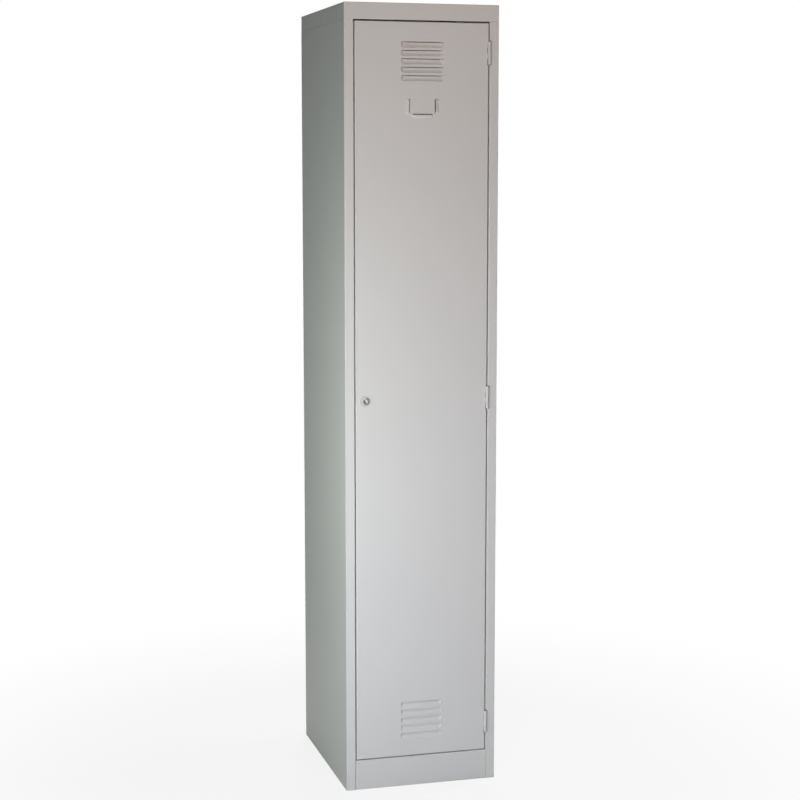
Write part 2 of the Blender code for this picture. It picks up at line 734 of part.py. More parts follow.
def door_bumper(name, height, stop_panel):
    """Rubber button in a hole of the lock side's door stop, which the closed door rests on."""
    x = STOP - JAMB_X - BUMPER_RADIUS - BUMPER_EDGE
    face = FRONT + JAMB
    seat = face - CLEARANCE
    head = seat - FRONT - DOOR_THICK - CLEARANCE
    rear = -SHEET - 2 * CLEARANCE
    profile = rounded_head(BUMPER_RADIUS, head)
    profile += [(BUMPER_STEM, 0), (BUMPER_STEM, rear), (BUMPER_BULB, rear),
                (BUMPER_STEM * CROWN, rear - BUMPER_TAIL), (0, rear - BUMPER_TAIL)]
    turned(f"door_bumper_{name}", profile, RUBBER, CARCASS, (x, seat, height), -Y_AXIS)
    boolean(stop_panel, bar("bumper_hole", BUMPER_STEM + CLEARANCE, (x, face - OVERCUT, height),
                            (x, face + SHEET + OVERCUT, height)))


# Hinges

def hinge_leaf(name, side, bottom, pivot):
    """Leaf rolled round the pin at its own knuckles, and cut back beside the other leaf's knuckles."""
    own = 1 if side > 0 else 0
    cut = KNUCKLE_RADIUS + HINGE_ROOM
    path = [(-KNUCKLE_RADIUS, LEAF_DEPTH + HINGE_PROUD), (-KNUCKLE_RADIUS, cut)]
    path += arc(KNUCKLE_RADIUS, pi, pi + KNUCKLE_ROLL, ROLL_STEPS)
    knuckle = HINGE_LENGTH / KNUCKLES
    levels = [bottom]
    for joint in range(1, KNUCKLES):
        levels += [bottom + joint * knuckle - CLEARANCE / 2, bottom + joint * knuckle + CLEARANCE / 2]
    levels.append(bottom + HINGE_LENGTH)

    def beside_other(centre):
        place = (centre.z - bottom) / knuckle
        between = abs(place - round(place)) * knuckle < CLEARANCE
        return centre.y < HINGE_Y + cut and (between or int(place) % 2 != own)

    def lift(u, v, w):
        return (HINGE_X + side * u, HINGE_Y + v, w)

    sheet = round_shading(mesh_of(folded(path, lift, levels, beside_other), name))
    thicken(add_part(name, sheet, PAINT, pivot), LEAF)


def hinge(name, height, door, frame):
    bottom = height - HINGE_LENGTH / 2
    top = bottom + HINGE_LENGTH + CLEARANCE
    hinge_leaf(f"hinge_{name}_door_leaf", 1, bottom, DOOR)
    hinge_leaf(f"hinge_{name}_frame_leaf", -1, bottom, CARCASS)
    head = rounded_head(PIN_HEAD_RADIUS, PIN_HEAD)
    tail = rounded_head(PIN_RADIUS, PIN_TAIL)[:-1]
    profile = head + [(PIN_RADIUS, 0)] + [(radius, bottom - top - drop) for radius, drop in reversed(tail)]
    turned(f"hinge_{name}_pin", profile, STEEL, CARCASS, (HINGE_X, HINGE_Y, top), Z_AXIS)
    low = bottom - PIN_TAIL - HINGE_ROOM
    high = top + PIN_HEAD + HINGE_ROOM
    reach = KNUCKLE_RADIUS + HINGE_ROOM
    boolean(door, box("hinge_notch", (HINGE_X - reach, FRONT - OVERCUT, low),
                      (DOOR_HALF + OVERCUT, HINGE_Y + reach, high)))
    boolean(frame, box("hinge_notch", (JAMB_X - OVERCUT, FRONT - OVERCUT, low),
                       (HINGE_X + reach, HINGE_Y + reach, high)))


# Lock

def lock_housing():
    """Round head and flatted body, bored for the key plug."""
    bore = PLUG_RADIUS + CLEARANCE
    face = CLEARANCE + LOCK_HEAD
    rear = FRONT - CAM_FRONT + CLEARANCE
    profile = [(bore, face), (LOCK_HEAD_RADIUS - LOCK_HEAD_CHAMFER, face),
               (LOCK_HEAD_RADIUS, face - LOCK_HEAD_CHAMFER), (LOCK_HEAD_RADIUS, CLEARANCE),
               (LOCK_BODY_RADIUS, CLEARANCE), (LOCK_BODY_RADIUS, rear), (bore, rear)]
    housing = turned("lock_housing", profile, CHROME, DOOR, (LOCK_X, FRONT, LOCK_HEIGHT), -Y_AXIS)
    for side in (-1, 1):
        ends = sorted((LOCK_X + side * LOCK_FLAT, LOCK_X + side * (LOCK_BODY_RADIUS + OVERCUT)))
        reach = LOCK_BODY_RADIUS + OVERCUT
        boolean(housing, box("lock_flat", (ends[0], FRONT - CLEARANCE / 2, LOCK_HEIGHT - reach),
                             (ends[1], CAM_FRONT, LOCK_HEIGHT + reach)))


def lock_nut():
    corners = arc(NUT_FLATS / 2 / cos(pi / NUT_SIDES), 0, tau, NUT_SIDES)[:-1]
    place = (LOCK_X, DOOR_INSIDE + CLEARANCE + NUT_THICK / 2, LOCK_HEIGHT)
    flat_outline("lock_nut", [corners, circle(LOCK_BODY_RADIUS + CLEARANCE)], NUT_THICK, STEEL, DOOR, place)


def lock_plug():
    """Plug with its keyway in front, and a flatted, drilled tail that carries the cam."""
    face = FRONT - CLEARANCE - LOCK_HEAD + PLUG_RECESS
    shoulder = CAM_FRONT - CLEARANCE
    tail = CAM_BACK - CLEARANCE

    def at(y):
        return (LOCK_X, y, LOCK_HEIGHT)

    plug = add_part("lock_plug", bar("lock_plug", PLUG_RADIUS, at(face), at(shoulder)), CHROME, LOCK)
    flatted = bar("plug_tail", PLUG_TAIL_RADIUS, at(shoulder - OVERCUT), at(tail), PLUG_TAIL_FLAT)
    boolean(plug, flatted, "UNION")
    hole_end = CAM_BACK - SCREW_LENGTH - CLEARANCE
    boolean(plug, bar("screw_hole", SCREW_RADIUS + CLEARANCE, at(hole_end), at(tail + OVERCUT)))
    keyway = box("keyway", (-KEYWAY_WIDTH / 2, face - OVERCUT, -KEYWAY_LENGTH / 2),
                 (KEYWAY_WIDTH / 2, face + KEYWAY_DEPTH, KEYWAY_LENGTH / 2))
    keyway.transform(Matrix.Translation((LOCK_X, 0, LOCK_HEIGHT)) @ Matrix.Rotation(-KEYWAY_TILT, 4, "Y"))
    boolean(plug, keyway)


def lock_cam():
    """Cam that hangs down when the lock is open, and turns behind the door stop to lock it."""
    tip = (0, CAM_TIP_RADIUS - CAM_LENGTH)
    edge = arc(CAM_EYE_RADIUS, 0, pi, ROUND_SIDES // 2)
    edge += arc(CAM_TIP_RADIUS, pi, tau, ROUND_SIDES // 2, tip)
    hole = double_flat(PLUG_TAIL_RADIUS + CLEARANCE, PLUG_TAIL_FLAT + CLEARANCE)
    place = (LOCK_X, (CAM_FRONT + CAM_BACK) / 2, LOCK_HEIGHT)
    flat_outline("lock_cam", [edge, hole], CAM_THICK, STEEL, LOCK, place)


def cam_screw():
    profile = rounded_head(SCREW_HEAD_RADIUS, SCREW_HEAD)
    profile += [(SCREW_RADIUS, 0), (SCREW_RADIUS, -SCREW_LENGTH), (0, -SCREW_LENGTH)]
    turned("cam_screw", profile, STEEL, LOCK, (LOCK_X, CAM_BACK + CLEARANCE, LOCK_HEIGHT), Y_AXIS)


def build():
    left = side_panel("left_side_panel", -1)
    right = side_panel("right_side_panel", 1)
    back_panel()
    top_cap()
    head_stop_rail()
    front_plinth()
    floor_panel()
    hat_shelf()
    hanging_rail()
    for side, sign in (("left", -1), ("right", 1)):
        rail_fittings(side, sign)
    for name, place in rivet_places():
        rivet(name, place)
    door = door_panel()
    door_stiffener()
    door_bumper("upper", DOOR_TOP - BUMPER_INSET, left)
    door_bumper("lower", DOOR_BOTTOM + BUMPER_INSET, left)
    for name, height in HINGE_HEIGHTS.items():
        hinge(name, height, door, right)
    lock_housing()
    lock_nut()
    lock_plug()
    lock_cam()
    cam_screw()


clear_scene()
PARTS = new_collection("metal_locker")
CUTTERS = new_collection("cutters")
CARCASS = add_empty("carcass", (0, 0, 0))
DOOR = add_empty("door", (HINGE_X, HINGE_Y, 0), CARCASS)
LOCK = add_empty("lock", (LOCK_X, FRONT, LOCK_HEIGHT), DOOR)
build()
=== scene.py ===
"""Dresses a single-door steel clothes locker: painted sheets, pressed door, rolled hinges and cam lock."""

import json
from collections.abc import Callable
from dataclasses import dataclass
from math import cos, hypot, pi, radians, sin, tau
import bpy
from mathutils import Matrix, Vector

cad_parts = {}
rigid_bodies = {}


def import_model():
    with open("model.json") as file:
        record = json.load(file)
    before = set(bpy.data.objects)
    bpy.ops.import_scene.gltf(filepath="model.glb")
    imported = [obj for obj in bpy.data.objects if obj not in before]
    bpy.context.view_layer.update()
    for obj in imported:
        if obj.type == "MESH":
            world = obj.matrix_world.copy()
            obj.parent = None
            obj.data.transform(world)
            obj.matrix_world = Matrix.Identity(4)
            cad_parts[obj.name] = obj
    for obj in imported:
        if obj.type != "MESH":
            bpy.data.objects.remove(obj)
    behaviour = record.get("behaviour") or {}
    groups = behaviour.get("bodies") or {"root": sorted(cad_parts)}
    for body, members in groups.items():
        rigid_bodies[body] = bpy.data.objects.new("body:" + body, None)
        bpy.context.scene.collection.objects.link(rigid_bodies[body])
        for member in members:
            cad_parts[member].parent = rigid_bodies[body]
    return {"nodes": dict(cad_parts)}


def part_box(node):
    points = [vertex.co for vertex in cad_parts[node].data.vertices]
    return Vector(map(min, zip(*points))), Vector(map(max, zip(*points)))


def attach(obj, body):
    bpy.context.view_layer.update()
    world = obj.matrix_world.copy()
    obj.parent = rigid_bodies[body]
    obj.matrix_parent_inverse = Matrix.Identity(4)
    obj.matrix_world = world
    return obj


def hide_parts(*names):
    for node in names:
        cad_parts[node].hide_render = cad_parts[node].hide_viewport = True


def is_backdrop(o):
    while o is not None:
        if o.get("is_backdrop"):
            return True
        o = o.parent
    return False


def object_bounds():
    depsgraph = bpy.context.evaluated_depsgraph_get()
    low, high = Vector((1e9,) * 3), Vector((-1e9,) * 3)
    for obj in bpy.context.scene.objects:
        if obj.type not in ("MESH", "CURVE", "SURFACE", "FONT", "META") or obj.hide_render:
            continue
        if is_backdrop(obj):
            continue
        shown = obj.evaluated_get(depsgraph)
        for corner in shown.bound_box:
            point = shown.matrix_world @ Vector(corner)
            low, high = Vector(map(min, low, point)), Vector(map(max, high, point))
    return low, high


bl_info = {
    "name": "Steel Clothes Locker",
    "version": (1, 0, 0),
    "blender": (4, 5, 0),
    "location": "View3D > Sidebar > Locker",
    "description": "Models and finishes the pieces of a single-door steel clothes locker",
    "category": "Add Mesh",
}

import bmesh
import bpy
from bpy.props import FloatProperty, FloatVectorProperty, IntProperty, PointerProperty
from bpy.types import Operator, Panel, PropertyGroup
from mathutils import Euler, Matrix, Vector

for leftover in list(bpy.data.objects):
    bpy.data.objects.remove(leftover)
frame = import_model()
CAD_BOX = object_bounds()

# Directions, angles, facets and tolerances
RIGHT = Vector((1, 0, 0))
REARWARD = Vector((0, 1, 0))
UP = Vector((0, 0, 1))
FOLD_ANGLE = radians(60)
SHARP_ANGLE = radians(35)
CREASE_ANGLE = radians(20)
FACING_ANGLE = radians(25)
ROUND_SIDES = 72
HOLE_SIDES = 24
NUT_SIDES = 6
CAM_STEPS = 24
BEVEL_STEPS = 10
DOME_STEPS = 6
CORNER_STEPS = 3
EDGE_STEPS = 2
OVERCUT = 0.001
SLIT_END = 0.0002
TOLERANCE = 0.000005
WHITE = (1, 1, 1, 1)
BLACK = (0, 0, 0, 1)


# Places read from the frame

def low(node):
    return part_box(node)[0]


def high(node):
    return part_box(node)[1]


def middle_of(node):
    return (low(node) + high(node)) / 2


def half_of(node):
    """Half of a node's width, depth and height."""
    return (high(node) - low(node)) / 2


FRONT = low("front_plinth").y
BACK = high("back_panel").y
TOP = high("top_cap").z
HALF_WIDTH = high("back_panel").x
GAUGE = BACK - low("back_panel").y
WALL_TOP = high("left_side_panel").z
WALL_BACK = high("left_side_panel").y
ROOM = low("back_panel").y - WALL_BACK
HEADER_BOTTOM = WALL_TOP + ROOM
JAMB_X = high("front_plinth").x + ROOM
STOP_X = low("right_side_panel").x
STOP_BACK = high("head_stop_rail").y
DOOR_LOW, DOOR_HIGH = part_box("door_panel")
DOOR_SAG = 0.0006
DOOR_TOP = DOOR_HIGH.z - DOOR_SAG
DOOR_BOTTOM = DOOR_LOW.z - DOOR_SAG
DOOR_HALF = DOOR_HIGH.x
DOOR_BACK = DOOR_HIGH.y
SHELF_LOW, SHELF_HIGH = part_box("hat_shelf")
FLOOR_LOW, FLOOR_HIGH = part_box("floor_panel")
RAIL_AXIS = middle_of("hanging_rail")
RAIL_RADIUS = half_of("hanging_rail").z
RAIL_END = high("hanging_rail").x
LOCK_AXIS = middle_of("lock_housing")
RIVETS = sorted(node for node in frame["nodes"] if node.startswith("bracket_rivet_"))
HINGES = ("top", "middle", "bottom")
BUMPERS = ("upper", "lower")
SIGNS = {"left": -1, "right": 1}


def at_lock(y):
    return Vector((LOCK_AXIS.x, y, LOCK_AXIS.z))


# Settings

def length(name, description, default):
    return FloatProperty(name=name, description=description, default=default, unit="LENGTH", precision=5)


def amount(name, description, default):
    return FloatProperty(name=name, description=description, default=default, subtype="FACTOR", min=0, max=1)


def angle(name, description, degrees):
    return FloatProperty(name=name, description=description, default=radians(degrees), subtype="ANGLE")


def count(name, description, default):
    return IntProperty(name=name, description=description, default=default, min=1)


def colour(name, description, default):
    return FloatVectorProperty(name=name, description=description, default=default, subtype="COLOR",
                               min=0, max=1)


class LockerSheets(PropertyGroup):
    """Folds, flanges and spot welds of the painted sheets"""

    gauge: length("Gauge", "Thickness of the steel sheet", GAUGE)
    fold: length("Fold radius", "Outer radius of every fold", 0.0020)
    fold_steps: count("Fold steps", "Faces round each fold", 6)
    rear_flange: length("Rear flange", "Width of the side walls' flanges that carry the back", 0.0150)
    cap_lip: length("Cap lip", "Height of the cap's lips inside the side walls",
                    HEADER_BOTTOM - low("top_cap").z)
    cap_lip_inset: length("Cap lip inset", "Distance of the cap's lips from the front and the back", 0.0060)
    plinth_lip: length("Plinth lip", "Height of the lip behind the plinth's top", 0.0120)
    plinth_return: length("Plinth return", "Depth of the plinth's foot", 0.0150)
    shelf_hem: length("Shelf hem", "Width of the hem under the shelf's front edge", 0.0100)
    shelf_hem_inset: length("Shelf hem inset", "Distance of the hem from the shelf's ends", 0.0040)
    door_lip: length("Door lip", "Width of the lip round the back of the door", 0.0120)
    stiffener_flange: length("Stiffener flange", "Width of the door stiffener's flanges", 0.0140)
    weld_radius: length("Weld radius", "Radius of a spot weld's dimple", 0.0040)
    weld_depth: length("Weld depth", "Depth of a spot weld's dimple", 0.0007)
    weld_edge: length("Weld edge", "Distance of the upper spot welds from the side walls' top", 0.0057)
    weld_pitch: length("Weld pitch", "Distance from spot weld to spot weld", 0.0900)
    weld_steps: count("Weld steps", "Faces from a dimple's middle to its edge", 4)


class LockerPressings(PropertyGroup):
    """Vents and card holder pressed in the door"""

    vents: count("Vents", "Vents in each group", 5)
    vent_length: length("Vent length", "Length of a vent across the door", 0.1010)
    vent_pitch: length("Vent pitch", "Distance from vent to vent", 0.0190)
    vent_width: length("Vent width", "Height of a vent", 0.0133)
    vent_depth: length("Vent depth", "How far a vent is pressed in", 0.0039)
    vent_slit: length("Vent slit", "Height of a vent's slit", 0.0013)
    vent_wall: length("Vent wall", "Run of a vent's sloping wall", 0.0100)
    vent_end: length("Vent end", "Run of a vent's sloping ends", 0.0050)
    vent_top_margin: length("Top margin", "Distance of the upper vents from the door's top", 0.0449)
    vent_bottom_margin: length("Bottom margin", "Distance of the lower vents from the door's bottom", 0.0431)
    vent_taper: length("Vent taper", "Run over which a vent's slit opens from each end", 0.0200)
    card_drop: length("Card drop", "Distance of the card holder from the door's top", 0.1734)
    card_width: length("Card width", "Width between the card holder's side tabs", 0.0600)
    tab_length: length("Side tab length", "Height of the card holder's side tabs", 0.0350)
    lower_tab_length: length("Lower tab length", "Length of the card holder's lower tab", 0.0500)
    tab_width: length("Tab width", "Width of each tab", 0.0105)
    tab_proud: length("Tab proud", "How far a tab stands out of the door", FRONT - DOOR_LOW.y)
    tab_slit: length("Tab slit", "Width of each tab's slit", 0.0018)
    tab_wall: length("Tab wall", "Run of a tab's sloping side", 0.0060)
    tab_end: length("Tab end", "Run of a tab's sloping ends", 0.0030)
    steps: count("Steps", "Faces across each sloping wall", 8)


class LockerHardware(PropertyGroup):
    """Hinges, hanging rail, lock and bumpers"""

    leaf: length("Leaf gauge", "Thickness of a hinge leaf", 0.0012)
    knuckles: count("Knuckles", "Knuckles in each hinge", 4)
    roll: angle("Roll", "Angle that a knuckle is rolled through", 300)
    roll_steps: count("Roll steps", "Faces round a knuckle", 40)
    hinge_room: length("Hinge room", "Gap round the knuckles in the door and the stile", 0.0005)
    knuckle_notch: length("Knuckle notch", "Gap in the door's edge beside the frame leaf's knuckles", 0.0014)
    stile_notch: length("Stile notch", "Gap in the stile beside the knuckles", 0.0017)
    pin_head: length("Pin head", "Height of a hinge pin's head", 0.0010)
    rail_wall: length("Rail wall", "Thickness of the hanging rail's tube", 0.0012)
    rail_edge: length("Rail edge", "Rounding of the hanging rail's ends", 0.0003)
    cap_round: amount("Cap rounding", "Rounding of an end cap as a share of its head's height", 0.3)
    bracket_gauge: length("Bracket gauge", "Thickness of a rail bracket", 0.0015)
    bracket_corner: length("Bracket corner", "Radius of a rail bracket's lower corners", 0.0120)
    rivet_shank: length("Rivet shank", "Radius of a rivet's shank", 0.0020)
    lock_rim: length("Lock rim", "How far the lock's head reaches past the housing's own radius", 0.0008)
    lock_bevel: length("Lock bevel", "Width of the rounded bevel round the lock's face", 0.0042)
    lock_slope: amount("Lock slope", "Slope at the bevel's inner edge as a share of its mean slope", 0.2)
    lock_edge: length("Lock edge", "Height of the lock's rim at the foot of its bevel", 0.0005)
    lock_body: length("Lock body", "Radius of the lock's body behind the door", 0.0090)
    plug_radius: length("Plug radius", "Radius of the key plug", 0.0062)
    plug_tail: length("Plug tail", "Radius of the key plug where the cam sits", 0.00372)
    plug_edge: length("Plug edge", "Chamfer round the key plug's face", 0.0004)
    keyway_length: length("Keyway length", "Length of the key slot's mouth", 0.0100)
    keyway_inner: length("Keyway inner length", "Length of the key slot behind its mouth", 0.0086)
    keyway_width: length("Keyway width", "Width of the key slot", 0.0016)
    keyway_depth: length("Keyway depth", "Depth of the key slot", 0.0120)
    keyway_mouth: length("Keyway mouth", "Width of the key slot's tapered mouth", 0.0036)
    keyway_lead: length("Keyway lead", "Depth of the key slot's tapered mouth", 0.0004)
    keyway_tilt: angle("Keyway tilt", "Turn of the key slot from upright", 26)
    nut_edge: length("Nut edge", "Rounding of the lock nut's edges", 0.0004)
    cam_eye: length("Cam eye", "Radius of the cam round the plug", 0.0080)
    cam_tip: length("Cam tip", "Radius of the cam's end", 0.0055)
    cam_edge: length("Cam edge", "Rounding of the cam's edges", 0.0003)
    screw_shank: length("Screw shank", "Radius of the cam screw's shank", 0.0020)
    screw_slot: length("Screw slot", "Width of the slots in the cam screw's head", 0.0009)
    screw_cross: length("Screw cross", "Length of the slots in the cam screw's head", 0.0042)
    bumper_stem: length("Bumper stem", "Radius of a bumper's stem", 0.0020)
    bumper_barb: length("Bumper barb", "Radius of the barb behind the door stop", 0.0028)
    bumper_tip: length("Bumper tip", "Radius of the stem's end", 0.0014)


class LockerFinishes(PropertyGroup):
    """Colours and gloss"""

    paint: colour("Paint", "Colour of the powder coat", (0.578, 0.613, 0.585))
    paint_roughness: amount("Paint roughness", "Roughness of the powder coat", 0.58)
    steel: colour("Steel", "Colour of the zinc-plated steel", (0.56, 0.57, 0.56))
    steel_roughness: amount("Steel roughness", "Roughness of the zinc-plated steel", 0.34)
    rail: colour("Rail", "Colour of the drawn rail", (0.56, 0.57, 0.56))
    rail_roughness: amount("Rail roughness", "Roughness of the drawn rail", 0.26)
    chrome: colour("Chrome", "Colour of the lock's plating", (0.68, 0.67, 0.65))
    chrome_roughness: amount("Chrome roughness", "Roughness of the lock's plating", 0.16)
    plastic: colour("Plastic", "Colour of the rail's end caps", (0.022, 0.022, 0.024))
    plastic_roughness: amount("Plastic roughness", "Roughness of the rail's end caps", 0.45)
    rubber: colour("Rubber", "Colour of the door bumpers", (0.030, 0.029, 0.028))
    rubber_roughness: amount("Rubber roughness", "Roughness of the door bumpers", 0.72)


class LockerStage(PropertyGroup):
    """Camera, lamps and floor"""

    camera: FloatVectorProperty(name="Camera", description="Place of the camera", unit="LENGTH",
                                default=(-1.169, -4.278, 1.490))
    camera_pitch: angle("Pitch", "How far the camera looks down", 7.478)
    camera_yaw: angle("Yaw", "How far the camera looks to the right", 15.383)
    lens: FloatProperty(name="Lens", description="Focal length for a sensor 36 mm wide", default=81.52,
                        unit="CAMERA")
    key: FloatProperty(name="Key lamp", description="Power of the main lamp", default=20.0, unit="POWER")
    ambient: amount("Ambient", "Strength of the even light from all round", 0.05)
    floor_radius: length("Floor radius", "Radius of the floor", 40.0)
    floor_shade: amount("Floor shade", "Grey of the floor to light that is not seen", 0.60)
    shadow: amount("Shadow", "How much of the locker's shadow the white floor shows", 0.16)
    shadow_near: length("Shadow near", "Distance as far as which the shadow is full", 0.5)
    shadow_far: length("Shadow far", "Distance at which the shadow has gone", 1.6)


GROUPS = {
    "locker_sheets": LockerSheets,
    "locker_pressings": LockerPressings,
    "locker_hardware": LockerHardware,
    "locker_finishes": LockerFinishes,
    "locker_stage": LockerStage,
}


# Shader expressions

def combining(operation):
    """An operator on two values, of which either may be a number, and its reflected form."""
    def forward(self, other):
        return self.nodes.math(operation, self, other)

    def reflected(self, other):
        return self.nodes.math(operation, other, self)

    return forward, reflected


class Signal:
    """An output socket that takes part in sums and products by adding Math nodes."""

    __add__, __radd__ = combining("ADD")
    __sub__, __rsub__ = combining("SUBTRACT")
    __mul__, __rmul__ = combining("MULTIPLY")

    def __init__(self, nodes, socket):
        self.nodes = nodes
        self.socket = socket

    def within(self, near, far):
        """One where the value is under near, falling smoothly to nothing at far."""
        values = {"Value": self, "From Min": near, "From Max": far, "To Min": 1.0, "To Max": 0.0}
        return self.nodes.node("ShaderNodeMapRange", {"interpolation_type": "SMOOTHSTEP"}, values)

    def spread(self, reach):
        """A noise's value as a change to both sides of nought."""
        return (self - 0.5) * reach


class Nodes:
    """A node tree and the ways to add to it."""

    def __init__(self, tree):
        self.tree = tree

    def node(self, kind, settings=None, sockets=None, output=0):
        """The signal of a new node, whose settings are made before its sockets are filled."""
        made = self.tree.nodes.new(kind)
        for name, value in (settings or {}).items():
            setattr(made, name, value)
        self.fill(made, sockets or {})
        return Signal(self, made.outputs[output])

    def fill(self, node, sockets):
        """Gives a node's sockets their values, or the signals that they are linked to."""
        for name, value in sockets.items():
            if isinstance(value, Signal):
                self.tree.links.new(value.socket, node.inputs[name])
            else:
                node.inputs[name].default_value = value

    def math(self, operation, *values):
        return self.node("ShaderNodeMath", {"operation": operation}, dict(enumerate(values)))

    def seen(self):
        """One to the camera, in reflections and through clear pieces, and nought to other light."""
        camera, glossy, through = [self.node("ShaderNodeLightPath", output=f"Is {ray} Ray")
                                   for ray in ("Camera", "Glossy", "Transmission")]
        return self.math("MAXIMUM", self.math("MAXIMUM", camera, glossy), through)


class Finish(Nodes):
    """A material, its nodes and its main shader."""

    def __init__(self, name):
        self.material = bpy.data.materials.new(name)
        self.material.use_nodes = True
        super().__init__(self.material.node_tree)
        self.shader = self.tree.nodes["Principled BSDF"]

    def set(self, **sockets):
        """Values or signals for the main shader, whose sockets are named with underscores for spaces."""
        self.fill(self.shader, {name.replace("_", " "): value for name, value in sockets.items()})
        return self.material

    def place(self):
        return self.node("ShaderNodeTexCoord", output="Object")

    def along(self, axis):
        return self.node("ShaderNodeSeparateXYZ", sockets={"Vector": self.place()}, output=axis)

    def noise(self, size, detail, stretch=1):
        """Noise whose features are about a size in metres, drawn out across the locker by a stretch."""
        scale = (1 / (size * stretch), 1 / size, 1 / size)
        place = self.node("ShaderNodeMapping", {"vector_type": "POINT"},
                          {"Vector": self.place(), "Scale": scale})
        return self.node("ShaderNodeTexNoise", sockets={"Vector": place, "Scale": 1.0, "Detail": detail})

    def mix(self, factor, first, second):
        """A colour between two colours."""
        return self.node("ShaderNodeMix", {"data_type": "RGBA"},
                         {"Factor": factor, "A": opaque(first), "B": opaque(second)}, output="Result")

    def relief(self, height, distance):
        """A bumped normal from a height between nought and one, which stands for a distance in metres."""
        return self.node("ShaderNodeBump", sockets={"Height": height, "Distance": distance, "Strength": 1.0},
                         output="Normal")


def opaque(shade):
    return shade if isinstance(shade, Signal) else (*shade, 1.0)


def tinted(shade, factor):
    return tuple(min(channel * factor, 1.0) for channel in shade)


# Finishes

# Sizes in metres of the patterns, how far each changes a shade, a roughness (gloss) and a surface (height)
TONE_SIZE, TONE_CHANGE, TONE_GLOSS = 0.35, 0.025, 0.08
PEEL_SIZE, PEEL_GLOSS, PEEL_HEIGHT = 0.0030, 0.10, 0.000036
GRAIN_SIZE, GRAIN_SHARE = PEEL_SIZE / 7, 0.2
FLECK_SIZE, FLECK_LEVEL, FLECK_STRENGTH, FLECK_SHADE = 0.0011, 0.62, 0.5, 0.80
PAINT_SPECULAR = 0.25
CHROME_SCRATCH, STEEL_SCRATCH, RAIL_SCRATCH, RAIL_STRETCH = 0.0006, 0.0010, 0.0007, 60
SCRATCH_GLOSS, SCRATCH_HEIGHT = 0.16, 0.06
CLOUD_SIZE, CLOUD_CHANGE, CLOUD_GLOSS = 0.004, 0.20, 0.10
SKIN_SIZE, SKIN_HEIGHT = 0.0007, 0.00006
DUST_SIZE, DUST_LEVEL, DUST_STRENGTH, DUST_SHADE, DUST_GLOSS = 0.006, 0.45, 0.5, 2.6, 0.20


def powder_coat(finish, shade, roughness):
    """Powder coat with a fine ripple, a faint change of tone and small darker flecks."""
    peel = finish.noise(PEEL_SIZE, detail=2)
    grain = finish.noise(GRAIN_SIZE, detail=1)
    tone = finish.noise(TONE_SIZE, detail=3)
    fleck = finish.noise(FLECK_SIZE, detail=1)
    base = finish.mix(tone, tinted(shade, 1 - TONE_CHANGE), tinted(shade, 1 + TONE_CHANGE))
    base = finish.mix((fleck - FLECK_LEVEL) * FLECK_STRENGTH, base, tinted(shade, FLECK_SHADE))
    ripple = finish.relief(peel * (1 - GRAIN_SHARE) + grain * GRAIN_SHARE, PEEL_HEIGHT)
    rough = roughness + peel.spread(PEEL_GLOSS) + tone.spread(TONE_GLOSS)
    return finish.set(Base_Color=base, Roughness=rough, Normal=ripple, Specular_IOR_Level=PAINT_SPECULAR)


def plated(finish, shade, roughness, size, stretch=1):
    """Plated metal with fine scratches, drawn out by a stretch, and a little clouding."""
    scratch = finish.noise(size, detail=4, stretch=stretch)
    cloud = finish.noise(CLOUD_SIZE, detail=3)
    tone = finish.mix(cloud, tinted(shade, 1 - CLOUD_CHANGE), tinted(shade, 1 + CLOUD_CHANGE))
    rough = roughness + scratch.spread(SCRATCH_GLOSS) + cloud.spread(CLOUD_GLOSS)
    ripple = finish.relief(scratch, size * SCRATCH_HEIGHT)
    return finish.set(Base_Color=tone, Metallic=1.0, Roughness=rough, Normal=ripple)


def moulded(finish, shade, roughness):
    """Moulded plastic or rubber with a fine matt skin and a trace of dust."""
    skin = finish.noise(SKIN_SIZE, detail=2)
    dust = finish.noise(DUST_SIZE, detail=4)
    tone = finish.mix((dust - DUST_LEVEL) * DUST_STRENGTH, shade, tinted(shade, DUST_SHADE))
    rough = roughness + dust.spread(DUST_GLOSS)
    return finish.set(Base_Color=tone, Roughness=rough, Normal=finish.relief(skin, SKIN_HEIGHT))


# Each slot's finish: its material's name, how it is made, which settings it has, and its scratches
FINISHES = {
    "grey_paint": ("grey_powder_coat", powder_coat, "paint"),
    "chromed_lock": ("lock_chrome_plate", plated, "chrome", CHROME_SCRATCH),
    "plain_steel": ("zinc_plated_steel", plated, "steel", STEEL_SCRATCH),
    "black_plastic": ("black_end_cap_plastic", moulded, "plastic"),
    "bumper_rubber": ("moulded_bumper_rubber", moulded, "rubber"),
}
DRAWN_STEEL = ("drawn_rail_steel", plated, "rail", RAIL_SCRATCH, RAIL_STRETCH)
MADE_FINISHES = {}


def material_of(name, make, kind, *scratches):
    """A finish's material, made the first time that it is asked for."""
    if name not in MADE_FINISHES:
        look = bpy.context.scene.locker_finishes
        shade, roughness = getattr(look, kind), getattr(look, f"{kind}_roughness")
        MADE_FINISHES[name] = make(Finish(name), shade, roughness, *scratches)
    return MADE_FINISHES[name]


# Mesh helpers

def of_kind(items, kind):
    return [item for item in items if isinstance(item, kind)]


def folded(path, runs):
    """An open sheet: a path of points carried along a run, or along several, one after another."""
    bm = bmesh.new()
    verts = [bm.verts.new(point) for point in path]
    edges = [bm.edges.new(pair) for pair in zip(verts, verts[1:])]
    for run in runs:
        made = bmesh.ops.extrude_edge_only(bm, edges=edges)["geom"]
        edges = of_kind(made, bmesh.types.BMEdge)
        bmesh.ops.translate(bm, vec=run, verts=of_kind(made, bmesh.types.BMVert))
    return bm


def draw_out(bm, edges, move):
    """Extrudes a rim of edges to where a function sends each new vertex, and gives back the new rim."""
    made = bmesh.ops.extrude_edge_only(bm, edges=edges)["geom"]
    for vert in of_kind(made, bmesh.types.BMVert):
        vert.co = move(vert.co)
    return of_kind(made, bmesh.types.BMEdge)


